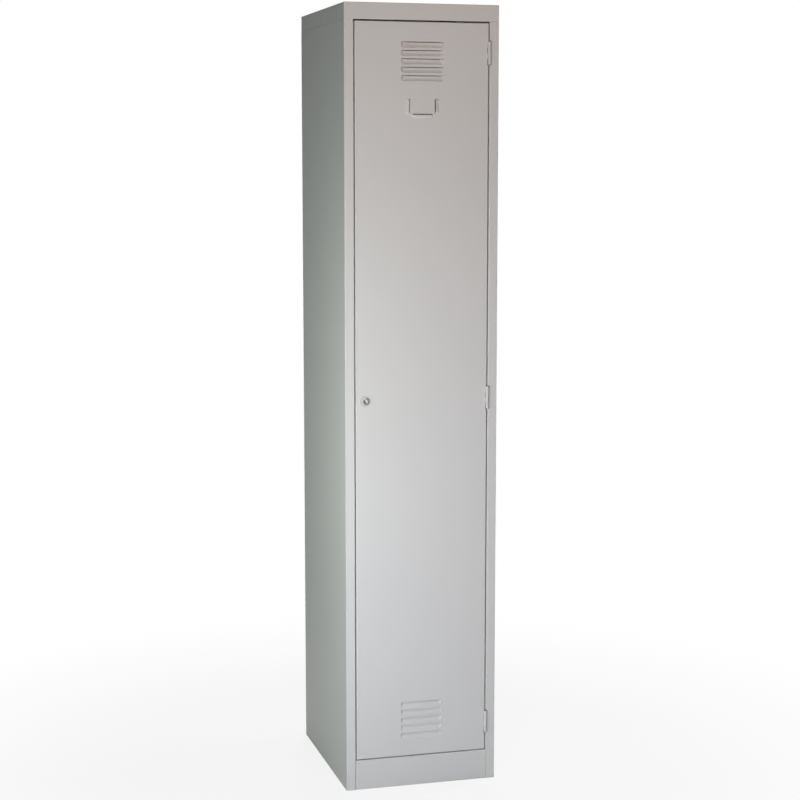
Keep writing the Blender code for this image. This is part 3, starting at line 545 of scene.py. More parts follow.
def tray(corner, opposite, bottom, top):
    """An open sheet with a level face at the top and a flange down each side to the bottom."""
    path = [(corner.x, corner.y, top), (opposite.x, corner.y, top)]
    bm = folded(path, [REARWARD * (opposite.y - corner.y)])
    draw_out(bm, bm.edges[:], lambda co: Vector((co.x, co.y, bottom)))
    return bm


def with_parts(faces):
    """Faces and the edges and vertices that belong to them."""
    return list(dict.fromkeys(part for face in faces for part in (face, *face.edges, *face.verts)))


def slice_faces(bm, faces, point, normal):
    """Cuts faces along a plane and gives back all that they became."""
    made = bmesh.ops.bisect_plane(bm, geom=with_parts(faces), dist=TOLERANCE, plane_co=point, plane_no=normal)
    return of_kind(made["geom"], bmesh.types.BMFace)


def cut_out(bm, planes):
    """Cuts away what lies behind every one of a list of planes, each a point and its outward normal."""
    faces = bm.faces[:]
    for point, normal in planes:
        pieces = slice_faces(bm, faces, point, normal)
        faces = [face for face in pieces if (face.calc_center_median() - point).dot(normal) < 0]
    bmesh.ops.delete(bm, geom=faces, context="FACES")


def block(corner, opposite):
    """Planes of a box between two corners."""
    lowest = Vector(map(min, corner, opposite))
    highest = Vector(map(max, corner, opposite))
    for axis in (RIGHT, REARWARD, UP):
        yield lowest, -axis
        yield highest, axis


def bore(centre, axis, radius):
    """Planes of a round hole that reaches a little to both sides of a sheet."""
    first = axis.orthogonal().normalized()
    for side in (-1, 1):
        yield centre + axis * side * OVERCUT, axis * side
    for step in range(HOLE_SIDES):
        way = Matrix.Rotation(tau * step / HOLE_SIDES, 3, axis) @ first
        yield centre + way * radius, way


def round_edges(bm, radius, steps, least):
    """Rounds the edges whose faces meet at more than a least angle."""
    bm.normal_update()
    edges = [edge for edge in bm.edges if len(edge.link_faces) == 2 and edge.calc_face_angle() > least]
    bmesh.ops.bevel(bm, geom=edges, offset=radius, offset_type="OFFSET", segments=steps, profile=0.5,
                    affect="EDGES", clamp_overlap=True, material=-1)


def bent(bm, sizes):
    """A sheet with its folds rounded."""
    round_edges(bm, sizes.fold, sizes.fold_steps, FOLD_ANGLE)
    return bm


def looks_along(face, way):
    """Whether a face looks a way or the way opposite."""
    return abs(face.normal.dot(way)) > cos(FACING_ANGLE)


def thickened(bm, gauge, way, holes=()):
    """A sheet with holes cut in it, its largest face of a way turned to it, and its thickness behind."""
    for planes in holes:
        cut_out(bm, planes)
    bmesh.ops.recalc_face_normals(bm, faces=bm.faces)
    bm.normal_update()
    level = [face for face in bm.faces if looks_along(face, way)]
    if max(level, key=lambda face: face.calc_area()).normal.dot(way) < 0:
        bmesh.ops.reverse_faces(bm, faces=bm.faces)
    bm.normal_update()
    bmesh.ops.solidify(bm, geom=bm.faces[:], thickness=gauge)
    bmesh.ops.recalc_face_normals(bm, faces=bm.faces)
    return bm


def turned(profile, place, way, rounding=0.0):
    """A profile of (radius, height) points spun about an axis, with its corners rounded."""
    bm = bmesh.new()
    points = [bm.verts.new((radius, 0, height)) for radius, height in profile]
    edges = [bm.edges.new(pair) for pair in zip(points, points[1:])]
    if profile[0][0] and profile[-1][0]:
        edges.append(bm.edges.new((points[-1], points[0])))
    bmesh.ops.spin(bm, geom=points + edges, cent=(0, 0, 0), axis=UP, angle=tau, steps=ROUND_SIDES,
                   use_merge=True, use_duplicate=False)
    bmesh.ops.remove_doubles(bm, verts=bm.verts, dist=TOLERANCE)
    bmesh.ops.recalc_face_normals(bm, faces=bm.faces)
    if rounding:
        round_edges(bm, rounding, CORNER_STEPS, SHARP_ANGLE)
    turn = UP.rotation_difference(way).to_matrix().to_4x4()
    bmesh.ops.transform(bm, matrix=Matrix.Translation(place) @ turn, verts=bm.verts)
    return bm


def plate(outline, thickness, place):
    """A flat plate that faces forward, from an outline of (x, z) points, with its front at a place."""
    bm = bmesh.new()
    face = bm.faces.new([bm.verts.new((x, 0, z)) for x, z in outline])
    made = bmesh.ops.extrude_face_region(bm, geom=[face])["geom"]
    bmesh.ops.translate(bm, vec=REARWARD * thickness, verts=of_kind(made, bmesh.types.BMVert))
    bmesh.ops.translate(bm, vec=place, verts=bm.verts)
    bmesh.ops.recalc_face_normals(bm, faces=bm.faces)
    return bm


def arc(radius, start, end, steps, centre=(0, 0)):
    turns = [start + (end - start) * step / steps for step in range(steps + 1)]
    return [(centre[0] + radius * cos(turn), centre[1] + radius * sin(turn)) for turn in turns]


def dome(radius, height):
    """Profile of a low domed head, from its top's middle down to its foot."""
    turns = [pi / 2 * step / DOME_STEPS for step in range(DOME_STEPS + 1)]
    return [(radius * sin(turn), height * cos(turn)) for turn in turns]


def domed_tail(radius, foot, height):
    """Profile of a domed tail, from its rim at a foot down to its bottom's middle."""
    return [(around, foot - drop) for around, drop in reversed(dome(radius, height))]


def placed(name, data):
    """A new object in the scene."""
    made = bpy.data.objects.new(name, data)
    bpy.context.scene.collection.objects.link(made)
    return made


def mesh_object(name, bm):
    """A new object in the scene with a mesh of its own."""
    mesh = bpy.data.meshes.new(name)
    bm.to_mesh(mesh)
    bm.free()
    return placed(name, mesh)


def slot_cutter(size, place, taper=1.0):
    """A box about a place, which a matrix gives, with its rear narrowed by a taper."""
    bm = bmesh.new()
    bmesh.ops.create_cube(bm, size=1)
    bmesh.ops.scale(bm, vec=size, verts=bm.verts)
    bmesh.ops.scale(bm, vec=(taper, 1, 1), verts=[vert for vert in bm.verts if vert.co.y > 0])
    bmesh.ops.transform(bm, matrix=place, verts=bm.verts)
    return bm


def carved(bm, cutters):
    """A solid with other solids cut out of it."""
    body = mesh_object("carved", bm)
    tools = [mesh_object("cutter", cutter) for cutter in cutters]
    for tool in tools:
        cut = body.modifiers.new("cut", "BOOLEAN")
        cut.object = tool
    bpy.context.view_layer.update()
    result = bmesh.new()
    result.from_object(body, bpy.context.evaluated_depsgraph_get())
    for obj in (body, *tools):
        bpy.data.meshes.remove(obj.data)
    return result


def add_piece(name, bm, body, slot, node, finish=None, sharp=SHARP_ANGLE):
    """A finished piece, which rides on a body, stands for a node and takes its finish from a slot."""
    bmesh.ops.remove_doubles(bm, verts=bm.verts, dist=TOLERANCE)
    piece = mesh_object(name, bm)
    piece.data.shade_smooth()
    piece.data.set_sharp_from_angle(angle=sharp)
    piece.data.materials.append(material_of(*(finish or FINISHES[slot])))
    normals = piece.modifiers.new("flat faces", "WEIGHTED_NORMAL")
    normals.keep_sharp = True
    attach(piece, body)
    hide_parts(node)


# Pressings

def eased(share):
    """A smooth step from nought to one."""
    return (1 - cos(pi * max(0, min(share, 1)))) / 2


def bulged(share):
    """A curve from nought to one that leaves nought at a crease and flattens out."""
    share = max(0, min(share, 1))
    return share * (2 - share)


def distinct(values):
    """Values in order, without those that lie on one another."""
    kept = []
    for value in sorted(values):
        if not kept or value - kept[-1] > TOLERANCE:
            kept.append(value)
    return kept


def in_plane(face, place, way):
    """Whether a face lies in the plane through a place across a way."""
    return all(abs((vert.co - place).dot(way)) < TOLERANCE for vert in face.verts)


def form_pressings(bm, pressings, way):
    """Cuts the flat face of a way along the lines of a group of pressings, slits it and forms it."""
    patch = [face for face in bm.faces if in_plane(face, pressings[0].middle, way)]
    lines = [line for pressing in pressings for line in pressing.lines()]
    for axis in (UP, UP.cross(way)):
        values = distinct(value * run.dot(axis) for run, places in lines if run.dot(axis) for value in places)
        for value in (values[0], values[-1]):
            patch = slice_faces(bm, patch, axis * value, axis)
        patch = [face for face in patch if values[0] < face.calc_center_median().dot(axis) < values[-1]]
        for value in values[1:-1]:
            patch = slice_faces(bm, patch, axis * value, axis)
    slits = [face for face in patch
             if any(pressing.in_slit(face.calc_center_median()) for pressing in pressings)]
    bmesh.ops.delete(bm, geom=slits, context="FACES")
    verts = dict.fromkeys(vert for face in patch if face.is_valid for vert in face.verts)
    for vert, moves in [(vert, [pressing.shift(vert.co) for pressing in pressings]) for vert in verts]:
        vert.co += sum(moves, Vector())


@dataclass
class Pressing:
    """A rectangle of the door's face, slit along one side and pressed in or out towards that side."""

    middle: Vector
    along: Vector
    across: Vector
    length: float
    width: float
    slit: float
    taper: float
    wall: float
    end: float
    depth: float
    steps: int
    form: Callable

    def local(self, co):
        offset = co - self.middle
        return offset.dot(self.along), offset.dot(self.across)

    def in_slit(self, co):
        u, v = self.local(co)
        return abs(u) < self.length / 2 and 0 < v < self.slit

    def lines(self):
        """Where the sheet is cut: places along each axis where the form bends."""
        steps = [step / self.steps for step in range(self.steps + 1)]
        along = [side * (self.length / 2 - run * step)
                 for side in (-1, 1) for run in (self.end, self.taper) for step in steps]
        across = [self.width - self.wall * step for step in steps] + [0, self.slit]
        for axis, values in ((self.along, along), (self.across, across)):
            yield axis, [self.middle.dot(axis) + value for value in values]

    def shift(self, co):
        """Where pressing moves a point: by the full depth at the slit's lip and by nothing at the other
        three sides, whose corners are round, with the lip closing up the slit towards its ends."""
        u, v = self.local(co)
        if abs(u) > self.length / 2 + TOLERANCE or not self.slit - TOLERANCE < v < self.width:
            return Vector()
        from_end = self.length / 2 - abs(u)
        end = 1 - min(from_end / self.end, 1)
        wall = 1 - min((self.width - v) / self.wall, 1)
        move = REARWARD * self.depth * self.form(1 - hypot(end, wall))
        if v < self.slit + TOLERANCE:
            move -= self.across * (self.slit - SLIT_END) * (1 - eased(from_end / self.taper))
        return move


@dataclass
class Dimple:
    """A round dimple of a spot weld in the face of a sheet that looks a way."""

    sizes: LockerSheets
    middle: Vector
    way: Vector

    def in_slit(self, co):
        return False

    def lines(self):
        """Where the sheet is cut: places along each axis, from edge to edge of the dimple."""
        steps = self.sizes.weld_steps
        for axis in (UP, UP.cross(self.way)):
            yield axis, [self.middle.dot(axis) + self.sizes.weld_radius * step / steps
                         for step in range(-steps, steps + 1)]

    def shift(self, co):
        """Where the dimple moves a point: in by its depth at its middle, and smoothly by less round it."""
        share = 1 - (co - self.middle).length / self.sizes.weld_radius
        return self.way * -self.sizes.weld_depth * eased(share)


def spot_welds(bm, sizes, middle, along, reach, way):
    """Dimples a pitch apart, as far as a reach to both sides of a place on a sheet's face."""
    most = int(reach / sizes.weld_pitch)
    places = [middle + along * sizes.weld_pitch * step for step in range(-most, most + 1)]
    form_pressings(bm, [Dimple(sizes, place, way) for place in places], way)


# Carcass

def hinge_axis(name):
    return middle_of(f"hinge_{name}_pin")


def knuckle_radius(name):
    return high(f"hinge_{name}_frame_leaf").x - hinge_axis(name).x


def stile_notch(hardware, name):
    """Planes of the notch round a hinge's knuckles in the right stile."""
    corner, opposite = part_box(f"hinge_{name}_pin")
    axis, radius, room = hinge_axis(name), knuckle_radius(name), hardware.hinge_room
    return block((axis.x + radius + hardware.stile_notch, FRONT - OVERCUT, corner.z - room),
                 (axis.x, axis.y + radius + room, opposite.z + room))


def knuckle_notches(hardware, name):
    """Planes of the notches in the door's edge: close to the door leaf's knuckles, wider by the others."""
    corner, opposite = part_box(f"hinge_{name}_frame_leaf")
    axis, radius, room = hinge_axis(name), knuckle_radius(name), hardware.hinge_room
    knuckle = (opposite.z - corner.z) / hardware.knuckles
    ends = [corner.z + place * knuckle for place in range(hardware.knuckles + 1)]
    ends[0] = low(f"hinge_{name}_pin").z - room
    ends[-1] = high(f"hinge_{name}_pin").z + room
    for place, (bottom, top) in enumerate(zip(ends, ends[1:])):
        reach = radius + (hardware.knuckle_notch if place % 2 == 0 else -room / 2)
        yield block((axis.x - reach, FRONT - OVERCUT, bottom), (axis.x + radius, axis.y + radius, top))


def side_sheet(sizes, hardware, side):
    """Side wall with its stile, jamb, door stop and rear flange in one folded sheet."""
    stop_face = STOP_BACK - sizes.gauge
    path = [(STOP_X, stop_face), (JAMB_X, stop_face), (JAMB_X, FRONT), (HALF_WIDTH, FRONT),
            (HALF_WIDTH, WALL_BACK), (HALF_WIDTH - sizes.rear_flange, WALL_BACK)]
    bm = bent(folded([(side * x, y, 0) for x, y in path], [UP * WALL_TOP]), sizes)
    for row in (WALL_TOP - sizes.weld_edge, middle_of("hat_shelf").z, middle_of("floor_panel").z):
        spot_welds(bm, sizes, Vector((side * HALF_WIDTH, 0, row)), REARWARD, HALF_WIDTH, RIGHT * side)
    # The door stop ends under the head rail. The right stile has notches, and the left stop has holes
    head_end = low("head_stop_rail").z - ROOM
    holes = [block((side * (JAMB_X - sizes.fold), stop_face - sizes.fold, head_end),
                   (side * (STOP_X - OVERCUT), STOP_BACK + OVERCUT, WALL_TOP + OVERCUT))]
    if side > 0:
        holes += [stile_notch(hardware, name) for name in HINGES]
    else:
        for name in BUMPERS:
            middle = middle_of(f"door_bumper_{name}")
            middle.y = stop_face
            holes.append(bore(middle, REARWARD, hardware.bumper_stem + ROOM))
    return thickened(bm, sizes.gauge, RIGHT * side, holes)


def cap_sheet(sizes):
    """Cap with a skirt all round, joggled along each side into a lip inside the side wall."""
    joggle = sizes.gauge + ROOM
    knee = HEADER_BOTTOM + joggle
    ends = (FRONT + sizes.cap_lip_inset, BACK - sizes.cap_lip_inset)
    bm = tray(Vector((-HALF_WIDTH, FRONT)), Vector((HALF_WIDTH, BACK)), HEADER_BOTTOM, TOP)
    bm.normal_update()
    skirts = [face for face in bm.faces if looks_along(face, RIGHT)]
    for end in ends:
        skirts = slice_faces(bm, skirts, REARWARD * end, REARWARD)
    skirts = [face for face in skirts if ends[0] < face.calc_center_median().y < ends[1]]
    skirts = slice_faces(bm, skirts, UP * knee, UP)
    knees = [edge for edge in bm.edges if all(abs(vert.co.z - knee) < TOLERANCE for vert in edge.verts)]
    below = [face for face in skirts if face.calc_center_median().z < knee]
    bmesh.ops.delete(bm, geom=below, context="FACES")
    lip = draw_out(bm, knees, lambda co: co - UP * joggle - RIGHT * joggle * (1 if co.x > 0 else -1))
    draw_out(bm, lip, lambda co: co - UP * sizes.cap_lip)
    return thickened(bent(bm, sizes), sizes.gauge, UP)


def head_rail_sheet(sizes):
    """Rail behind the header that closes its underside and stops the door's top edge."""
    corner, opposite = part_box("head_stop_rail")
    stop_face = opposite.y - sizes.gauge
    path = [(corner.y, opposite.z), (corner.y, HEADER_BOTTOM), (stop_face, HEADER_BOTTOM),
            (stop_face, corner.z)]
    bm = folded([(corner.x, y, z) for y, z in path], [RIGHT * (opposite.x - corner.x)])
    return thickened(bent(bm, sizes), sizes.gauge, -REARWARD)


def plinth_sheet(sizes):
    """Plinth with a lip down behind its top and a foot turned back under it."""
    corner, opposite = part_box("front_plinth")
    path = [(opposite.y, opposite.z - sizes.plinth_lip), (opposite.y, opposite.z), (corner.y, opposite.z),
            (corner.y, corner.z), (corner.y + sizes.plinth_return, corner.z)]
    bm = folded([(corner.x, y, z) for y, z in path], [RIGHT * (opposite.x - corner.x)])
    return thickened(bent(bm, sizes), sizes.gauge, -REARWARD)


def floor_sheet(sizes):
    """Raised floor with a flange down each side."""
    bm = tray(FLOOR_LOW, FLOOR_HIGH, FLOOR_LOW.z, FLOOR_HIGH.z)
    return thickened(bent(bm, sizes), sizes.gauge, UP)


def back_sheet(sizes):
    """Flat back panel, spot-welded to the side walls' rear flanges."""
    corner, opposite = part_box("back_panel")
    height = opposite.z - corner.z
    bm = folded([(corner.x, BACK, corner.z), (opposite.x, BACK, corner.z)], [UP * height])
    for side in (-1, 1):
        middle = Vector((side * (HALF_WIDTH - sizes.rear_flange / 2), BACK, corner.z + height / 2))
        spot_welds(bm, sizes, middle, UP, height / 2 - sizes.rear_flange, REARWARD)
    return thickened(bm, sizes.gauge, REARWARD)


def rivet_hole(hardware, node, z):
    """Planes of the hole for a rivet's shank in a level sheet."""
    middle = middle_of(node)
    middle.z = z
    return bore(middle, UP, hardware.rivet_shank + ROOM)


def shelf_sheet(sizes, hardware):
    """Shelf tray whose front flange is hemmed back under, with holes for the brackets' rivets."""
    bm = tray(SHELF_LOW, SHELF_HIGH, SHELF_LOW.z, SHELF_HIGH.z)
    front = [face for face in bm.faces if in_plane(face, SHELF_LOW, REARWARD)]
    reach = SHELF_HIGH.x - sizes.shelf_hem_inset
    for side in (-1, 1):
        front = slice_faces(bm, front, RIGHT * side * reach, RIGHT)
    hem = [edge for edge in bm.edges
           if all((vert.co - SHELF_LOW).yz.length < TOLERANCE and abs(vert.co.x) < reach + TOLERANCE
                  for vert in edge.verts)]
    draw_out(bm, hem, lambda co: co + REARWARD * sizes.shelf_hem)
    holes = [rivet_hole(hardware, node, SHELF_HIGH.z) for node in RIVETS]
    return thickened(bent(bm, sizes), sizes.gauge, UP, holes)


class LOCKER_OT_sides(Operator):
    """Fold the two side walls"""

    bl_idname = "locker.sides"
    bl_label = "Side Walls"

    def execute(self, context):
        scene = context.scene
        for name, side in SIGNS.items():
            bm = side_sheet(scene.locker_sheets, scene.locker_hardware, side)
            add_piece(f"{name}_side_wall", bm, "carcass", "grey_paint", f"{name}_side_panel")
        return {"FINISHED"}


class LOCKER_OT_carcass(Operator):
    """Fold the cap, the head rail, the plinth and the floor, and make the back"""

    bl_idname = "locker.carcass"
    bl_label = "Cap, Plinth, Floor and Back"

    def execute(self, context):
        for name, sheet, node in (
                ("cap_sheet", cap_sheet, "top_cap"),
                ("head_rail_sheet", head_rail_sheet, "head_stop_rail"),
                ("plinth_sheet", plinth_sheet, "front_plinth"),
                ("floor_sheet", floor_sheet, "floor_panel"),
                ("back_sheet", back_sheet, "back_panel")):
            add_piece(name, sheet(context.scene.locker_sheets), "carcass", "grey_paint", node)
        return {"FINISHED"}


class LOCKER_OT_shelf(Operator):
    """Fold the hat shelf"""

    bl_idname = "locker.shelf"
    bl_label = "Hat Shelf"

    def execute(self, context):
        bm = shelf_sheet(context.scene.locker_sheets, context.scene.locker_hardware)
        add_piece("shelf_sheet", bm, "carcass", "grey_paint", "hat_shelf")
        return {"FINISHED"}


# Hanging rail

def rail_tube(hardware):
    """Tube from bracket to bracket, with its ends eased."""
    inner = RAIL_RADIUS - hardware.rail_wall
    profile = [(RAIL_RADIUS, RAIL_END), (RAIL_RADIUS, -RAIL_END), (inner, -RAIL_END), (inner, RAIL_END)]
    return turned(profile, RAIL_AXIS, RIGHT, hardware.rail_edge)


def bracket_sheet(sizes, hardware, side, sign):
    """Bent strap under the shelf with round lower corners, a hole for the rail and two for its rivets."""
    corner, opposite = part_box(f"rail_bracket_{side}")
    near, far = sorted((corner.x, opposite.x), key=abs)
    path = [(far, corner.y, corner.z), (far, corner.y, opposite.z), (near, corner.y, opposite.z)]
    bm = folded(path, [REARWARD * (opposite.y - corner.y)])
    corners = [vert for vert in bm.verts if vert.co.z < RAIL_AXIS.z]
    bmesh.ops.bevel(bm, geom=corners, affect="VERTICES", offset=hardware.bracket_corner,
                    segments=sizes.fold_steps, profile=0.5, material=-1)
    holes = [bore(Vector((far, RAIL_AXIS.y, RAIL_AXIS.z)), RIGHT, RAIL_RADIUS + ROOM)]
    holes += [rivet_hole(hardware, node, opposite.z) for node in RIVETS if side in node]
    return thickened(bent(bm, sizes), hardware.bracket_gauge, RIGHT * sign, holes)


def end_cap(hardware, side, sign):
    """Plastic cap with a round-edged head, pushed into the rail's end."""
    inner, outer = sorted(abs(corner.x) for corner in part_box(f"rail_end_cap_{side}"))
    head = half_of(f"rail_end_cap_{side}").z
    plug = RAIL_RADIUS - hardware.rail_wall - ROOM
    seat = RAIL_END + ROOM
    top, tail = outer - seat, inner - seat
    profile = [(0, top), (head, top), (head, 0), (plug, 0), (plug, tail), (0, tail)]
    place = Vector((sign * seat, RAIL_AXIS.y, RAIL_AXIS.z))
    return turned(profile, place, RIGHT * sign, top * hardware.cap_round)


def rivet(hardware, node):
    """Rivet through the shelf and a bracket, with a domed head on top and a domed tail under it."""
    corner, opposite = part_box(node)
    radius = half_of(node).x
    place = middle_of(node)
    place.z = SHELF_HIGH.z + ROOM
    foot = high("rail_bracket_left").z - hardware.bracket_gauge - ROOM - place.z
    profile = dome(radius, opposite.z - place.z)
    profile += [(hardware.rivet_shank, 0), (hardware.rivet_shank, foot)]
    profile += domed_tail(radius, foot, place.z + foot - corner.z)
    return turned(profile, place, UP)


class LOCKER_OT_rail(Operator):
    """Make the hanging rail with its brackets, rivets and end caps"""

    bl_idname = "locker.rail"
    bl_label = "Hanging Rail"

    def execute(self, context):
        sizes = context.scene.locker_sheets
        hardware = context.scene.locker_hardware
        add_piece("rail_tube", rail_tube(hardware), "carcass", "plain_steel", "hanging_rail", DRAWN_STEEL)
        for side, sign in SIGNS.items():
            add_piece(f"{side}_rail_strap", bracket_sheet(sizes, hardware, side, sign), "carcass",
                      "plain_steel", f"rail_bracket_{side}")
            add_piece(f"{side}_rail_plug", end_cap(hardware, side, sign), "carcass", "black_plastic",
                      f"rail_end_cap_{side}")
        for node in RIVETS:
            name = node.removeprefix("bracket_rivet_")
            add_piece(f"{name}_rivet", rivet(hardware, node), "carcass", "plain_steel", node)
        return {"FINISHED"}


# Door

def vents(press, top):
    return [Pressing(Vector((0, FRONT, top - row * press.vent_pitch)), RIGHT, -UP, press.vent_length,
                     press.vent_width, press.vent_slit, press.vent_taper, press.vent_wall, press.vent_end,
                     press.vent_depth, press.steps, bulged)
            for row in range(press.vents)]


def card_tabs(press):
    """Tabs that hold a card by its sides and its bottom edge, open towards the card."""
    top = DOOR_TOP - press.card_drop
    half = press.tab_length / 2
    form = (press.tab_width, press.tab_slit, press.tab_end, press.tab_wall, press.tab_end, -press.tab_proud,
            press.steps, eased)
    tabs = [Pressing(Vector((side * press.card_width / 2, FRONT, top - half)), UP, RIGHT * side,
                     press.tab_length, *form) for side in (-1, 1)]
    lower = Vector((0, FRONT, top - press.tab_length))
    return tabs + [Pressing(lower, RIGHT, -UP, press.lower_tab_length, *form)]


def door_sheet(sizes, press, hardware):
    """Door pan with its edges folded back and in, and the vents and card holder pressed in its face."""
    path = [(-DOOR_HALF, FRONT, DOOR_BOTTOM), (DOOR_HALF, FRONT, DOOR_BOTTOM)]
    bm = folded(path, [UP * (DOOR_TOP - DOOR_BOTTOM)])
    rim = draw_out(bm, bm.edges[:], lambda co: Vector((co.x, DOOR_BACK, co.z)))
    side, bottom, top = DOOR_HALF - sizes.door_lip, DOOR_BOTTOM + sizes.door_lip, DOOR_TOP - sizes.door_lip
    draw_out(bm, rim, lambda co: Vector((max(-side, min(co.x, side)), co.y, max(bottom, min(co.z, top)))))
    depth = (press.vents - 1) * press.vent_pitch + press.vent_width
    for pressings in (vents(press, DOOR_TOP - press.vent_top_margin),
                      vents(press, DOOR_BOTTOM + press.vent_bottom_margin + depth),
                      card_tabs(press)):
        form_pressings(bm, pressings, -REARWARD)
    holes = [planes for name in HINGES for planes in knuckle_notches(hardware, name)]
    holes.append(bore(at_lock(FRONT), REARWARD, hardware.lock_body + ROOM))
    return thickened(bent(bm, sizes), sizes.gauge, -REARWARD, holes)


def stiffener_sheet(sizes):
    """Hat channel inside the door."""
    corner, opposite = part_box("door_stiffener")
    crown = opposite.x - sizes.stiffener_flange
    deep = opposite.y - sizes.gauge
    path = [(-opposite.x, corner.y), (-crown, corner.y), (-crown, deep), (crown, deep), (crown, corner.y),
            (opposite.x, corner.y)]
    bm = folded([(x, y, corner.z) for x, y in path], [UP * (opposite.z - corner.z)])
    return thickened(bent(bm, sizes), sizes.gauge, -REARWARD)


class LOCKER_OT_door(Operator):
    """Press and fold the door and its stiffener"""

    bl_idname = "locker.door"
    bl_label = "Door"

    def execute(self, context):
        scene = context.scene
        bm = door_sheet(scene.locker_sheets, scene.locker_pressings, scene.locker_hardware)
        add_piece("door_pan", bm, "door", "grey_paint", "door_panel", sharp=CREASE_ANGLE)
        bm = stiffener_sheet(scene.locker_sheets)
        add_piece("stiffener_channel", bm, "door", "grey_paint", "door_stiffener")
        return {"FINISHED"}


def bumper(hardware, node):
    """Rubber button with a domed face and a barbed stem through the door stop."""
    corner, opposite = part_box(node)
    place = middle_of(node)
    place.y = STOP_BACK - GAUGE - ROOM
    rear = place.y - STOP_BACK - ROOM
    end = place.y - opposite.y
    stem = hardware.bumper_stem
    profile = dome(half_of(node).x, place.y - corner.y)
    profile += [(stem, 0), (stem, rear), (hardware.bumper_barb, rear), (hardware.bumper_tip, end), (0, end)]
    return turned(profile, place, -REARWARD)


class LOCKER_OT_bumpers(Operator):
    """Mould the door's rubber bumpers"""

    bl_idname = "locker.bumpers"
    bl_label = "Bumpers"

    def execute(self, context):
        for name in BUMPERS:
            node = f"door_bumper_{name}"
            bm = bumper(context.scene.locker_hardware, node)
            add_piece(f"{name}_bumper", bm, "carcass", "bumper_rubber", node)
        return {"FINISHED"}


# Hinges

def hinge_leaf(hardware, name, leaf, side):
    """Leaf rolled round the pin at its own knuckles, and cut back beside the other leaf's knuckles."""
    axis, radius = hinge_axis(name), knuckle_radius(name)
    corner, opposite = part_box(f"hinge_{name}_{leaf}_leaf")
    own = 1 if side > 0 else 0
    cut = radius + hardware.hinge_room
    path = [(-radius, opposite.y - axis.y), (-radius, cut)]
    path += arc(radius, pi, pi + hardware.roll, hardware.roll_steps)
    knuckle = (opposite.z - corner.z) / hardware.knuckles
    # Full knuckles and narrow gaps in turn, so that each gap's faces can be dropped
    runs = [knuckle - ROOM / 2]
    for joint in range(1, hardware.knuckles):
        runs += [ROOM, knuckle - (ROOM if joint < hardware.knuckles - 1 else ROOM / 2)]
    bm = folded([(axis.x + side * x, axis.y + y, corner.z) for x, y in path], [UP * run for run in runs])
    dropped = []
    for face in bm.faces:
        centre = face.calc_center_median()
        place = (centre.z - corner.z) / knuckle
        between = abs(place - round(place)) * knuckle < ROOM
        if centre.y < axis.y + cut and (between or int(place) % 2 != own):
            dropped.append(face)
    bmesh.ops.delete(bm, geom=dropped, context="FACES")
    return thickened(bm, hardware.leaf, RIGHT * -side)


def hinge_pin(hardware, name):
    """Pin with a domed head on top and a rounded tail."""
    node = f"hinge_{name}_pin"
    place = hinge_axis(name)
    place.z = high(node).z - hardware.pin_head
    shank = knuckle_radius(name) - hardware.leaf - ROOM
    shoulder = low(f"hinge_{name}_frame_leaf").z - place.z
    profile = dome(half_of(node).x, hardware.pin_head) + [(shank, 0)]
    profile += domed_tail(shank, shoulder, place.z + shoulder - low(node).z)
    return turned(profile, place, UP)


class LOCKER_OT_hinges(Operator):
    """Roll the hinge leaves and make their pins"""

    bl_idname = "locker.hinges"
    bl_label = "Hinges"

    def execute(self, context):
        hardware = context.scene.locker_hardware
        for name in HINGES:
            for body, leaf, side in (("door", "door", 1), ("carcass", "frame", -1)):
                add_piece(f"{name}_{leaf}_hinge_leaf", hinge_leaf(hardware, name, leaf, side), body,
                          "grey_paint", f"hinge_{name}_{leaf}_leaf")
            add_piece(f"{name}_hinge_pin", hinge_pin(hardware, name), "carcass", "plain_steel",
                      f"hinge_{name}_pin")
        return {"FINISHED"}


# Lock

def lock_case(hardware):
    """Lock housing: a round head with a broad rounded bevel, on a bored body."""
    seat = FRONT - ROOM
    face = seat - low("lock_housing").y
    rear = seat - high("lock_housing").y
    radius = half_of("lock_housing").z + hardware.lock_rim
    bored = hardware.plug_radius + ROOM
    bevel, slope = hardware.lock_bevel, hardware.lock_slope
    fall = face - hardware.lock_edge
    profile = [(bored, face)]
    for share in (step / BEVEL_STEPS for step in range(BEVEL_STEPS + 1)):
        drop = fall * share * (slope + (1 - slope) * share)
        profile.append((radius - bevel + bevel * share, face - drop))
    profile += [(radius, 0), (hardware.lock_body, 0), (hardware.lock_body, rear), (bored, rear)]
    return turned(profile, at_lock(seat), -REARWARD)


def key_plug(hardware):
    """Key plug with a chamfered face, a narrow tail and a key slot with a tapered mouth."""
    corner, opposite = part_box("lock_plug")
    radius, tail, edge = hardware.plug_radius, hardware.plug_tail, hardware.plug_edge
    step = corner.y - low("lock_cam").y + ROOM
    end = corner.y - opposite.y
    profile = [(0, 0), (radius - edge, 0), (radius, -edge), (radius, step)]
    profile += [(tail, step), (tail, end), (0, end)]
    plug = turned(profile, at_lock(corner.y), -REARWARD)
    place = Matrix.Translation(at_lock(corner.y)) @ Matrix.Rotation(-hardware.keyway_tilt, 4, "Y")
    width = hardware.keyway_width
    # Half of each cutter stands in front of the face, so the mouth's cutter starts as much wider again
    outer = 2 * hardware.keyway_mouth - width
    slot = slot_cutter((width, 2 * hardware.keyway_depth, hardware.keyway_inner), place)
    mouth = slot_cutter((outer, 2 * hardware.keyway_lead, hardware.keyway_length), place, width / outer)
    return carved(plug, [slot, mouth])


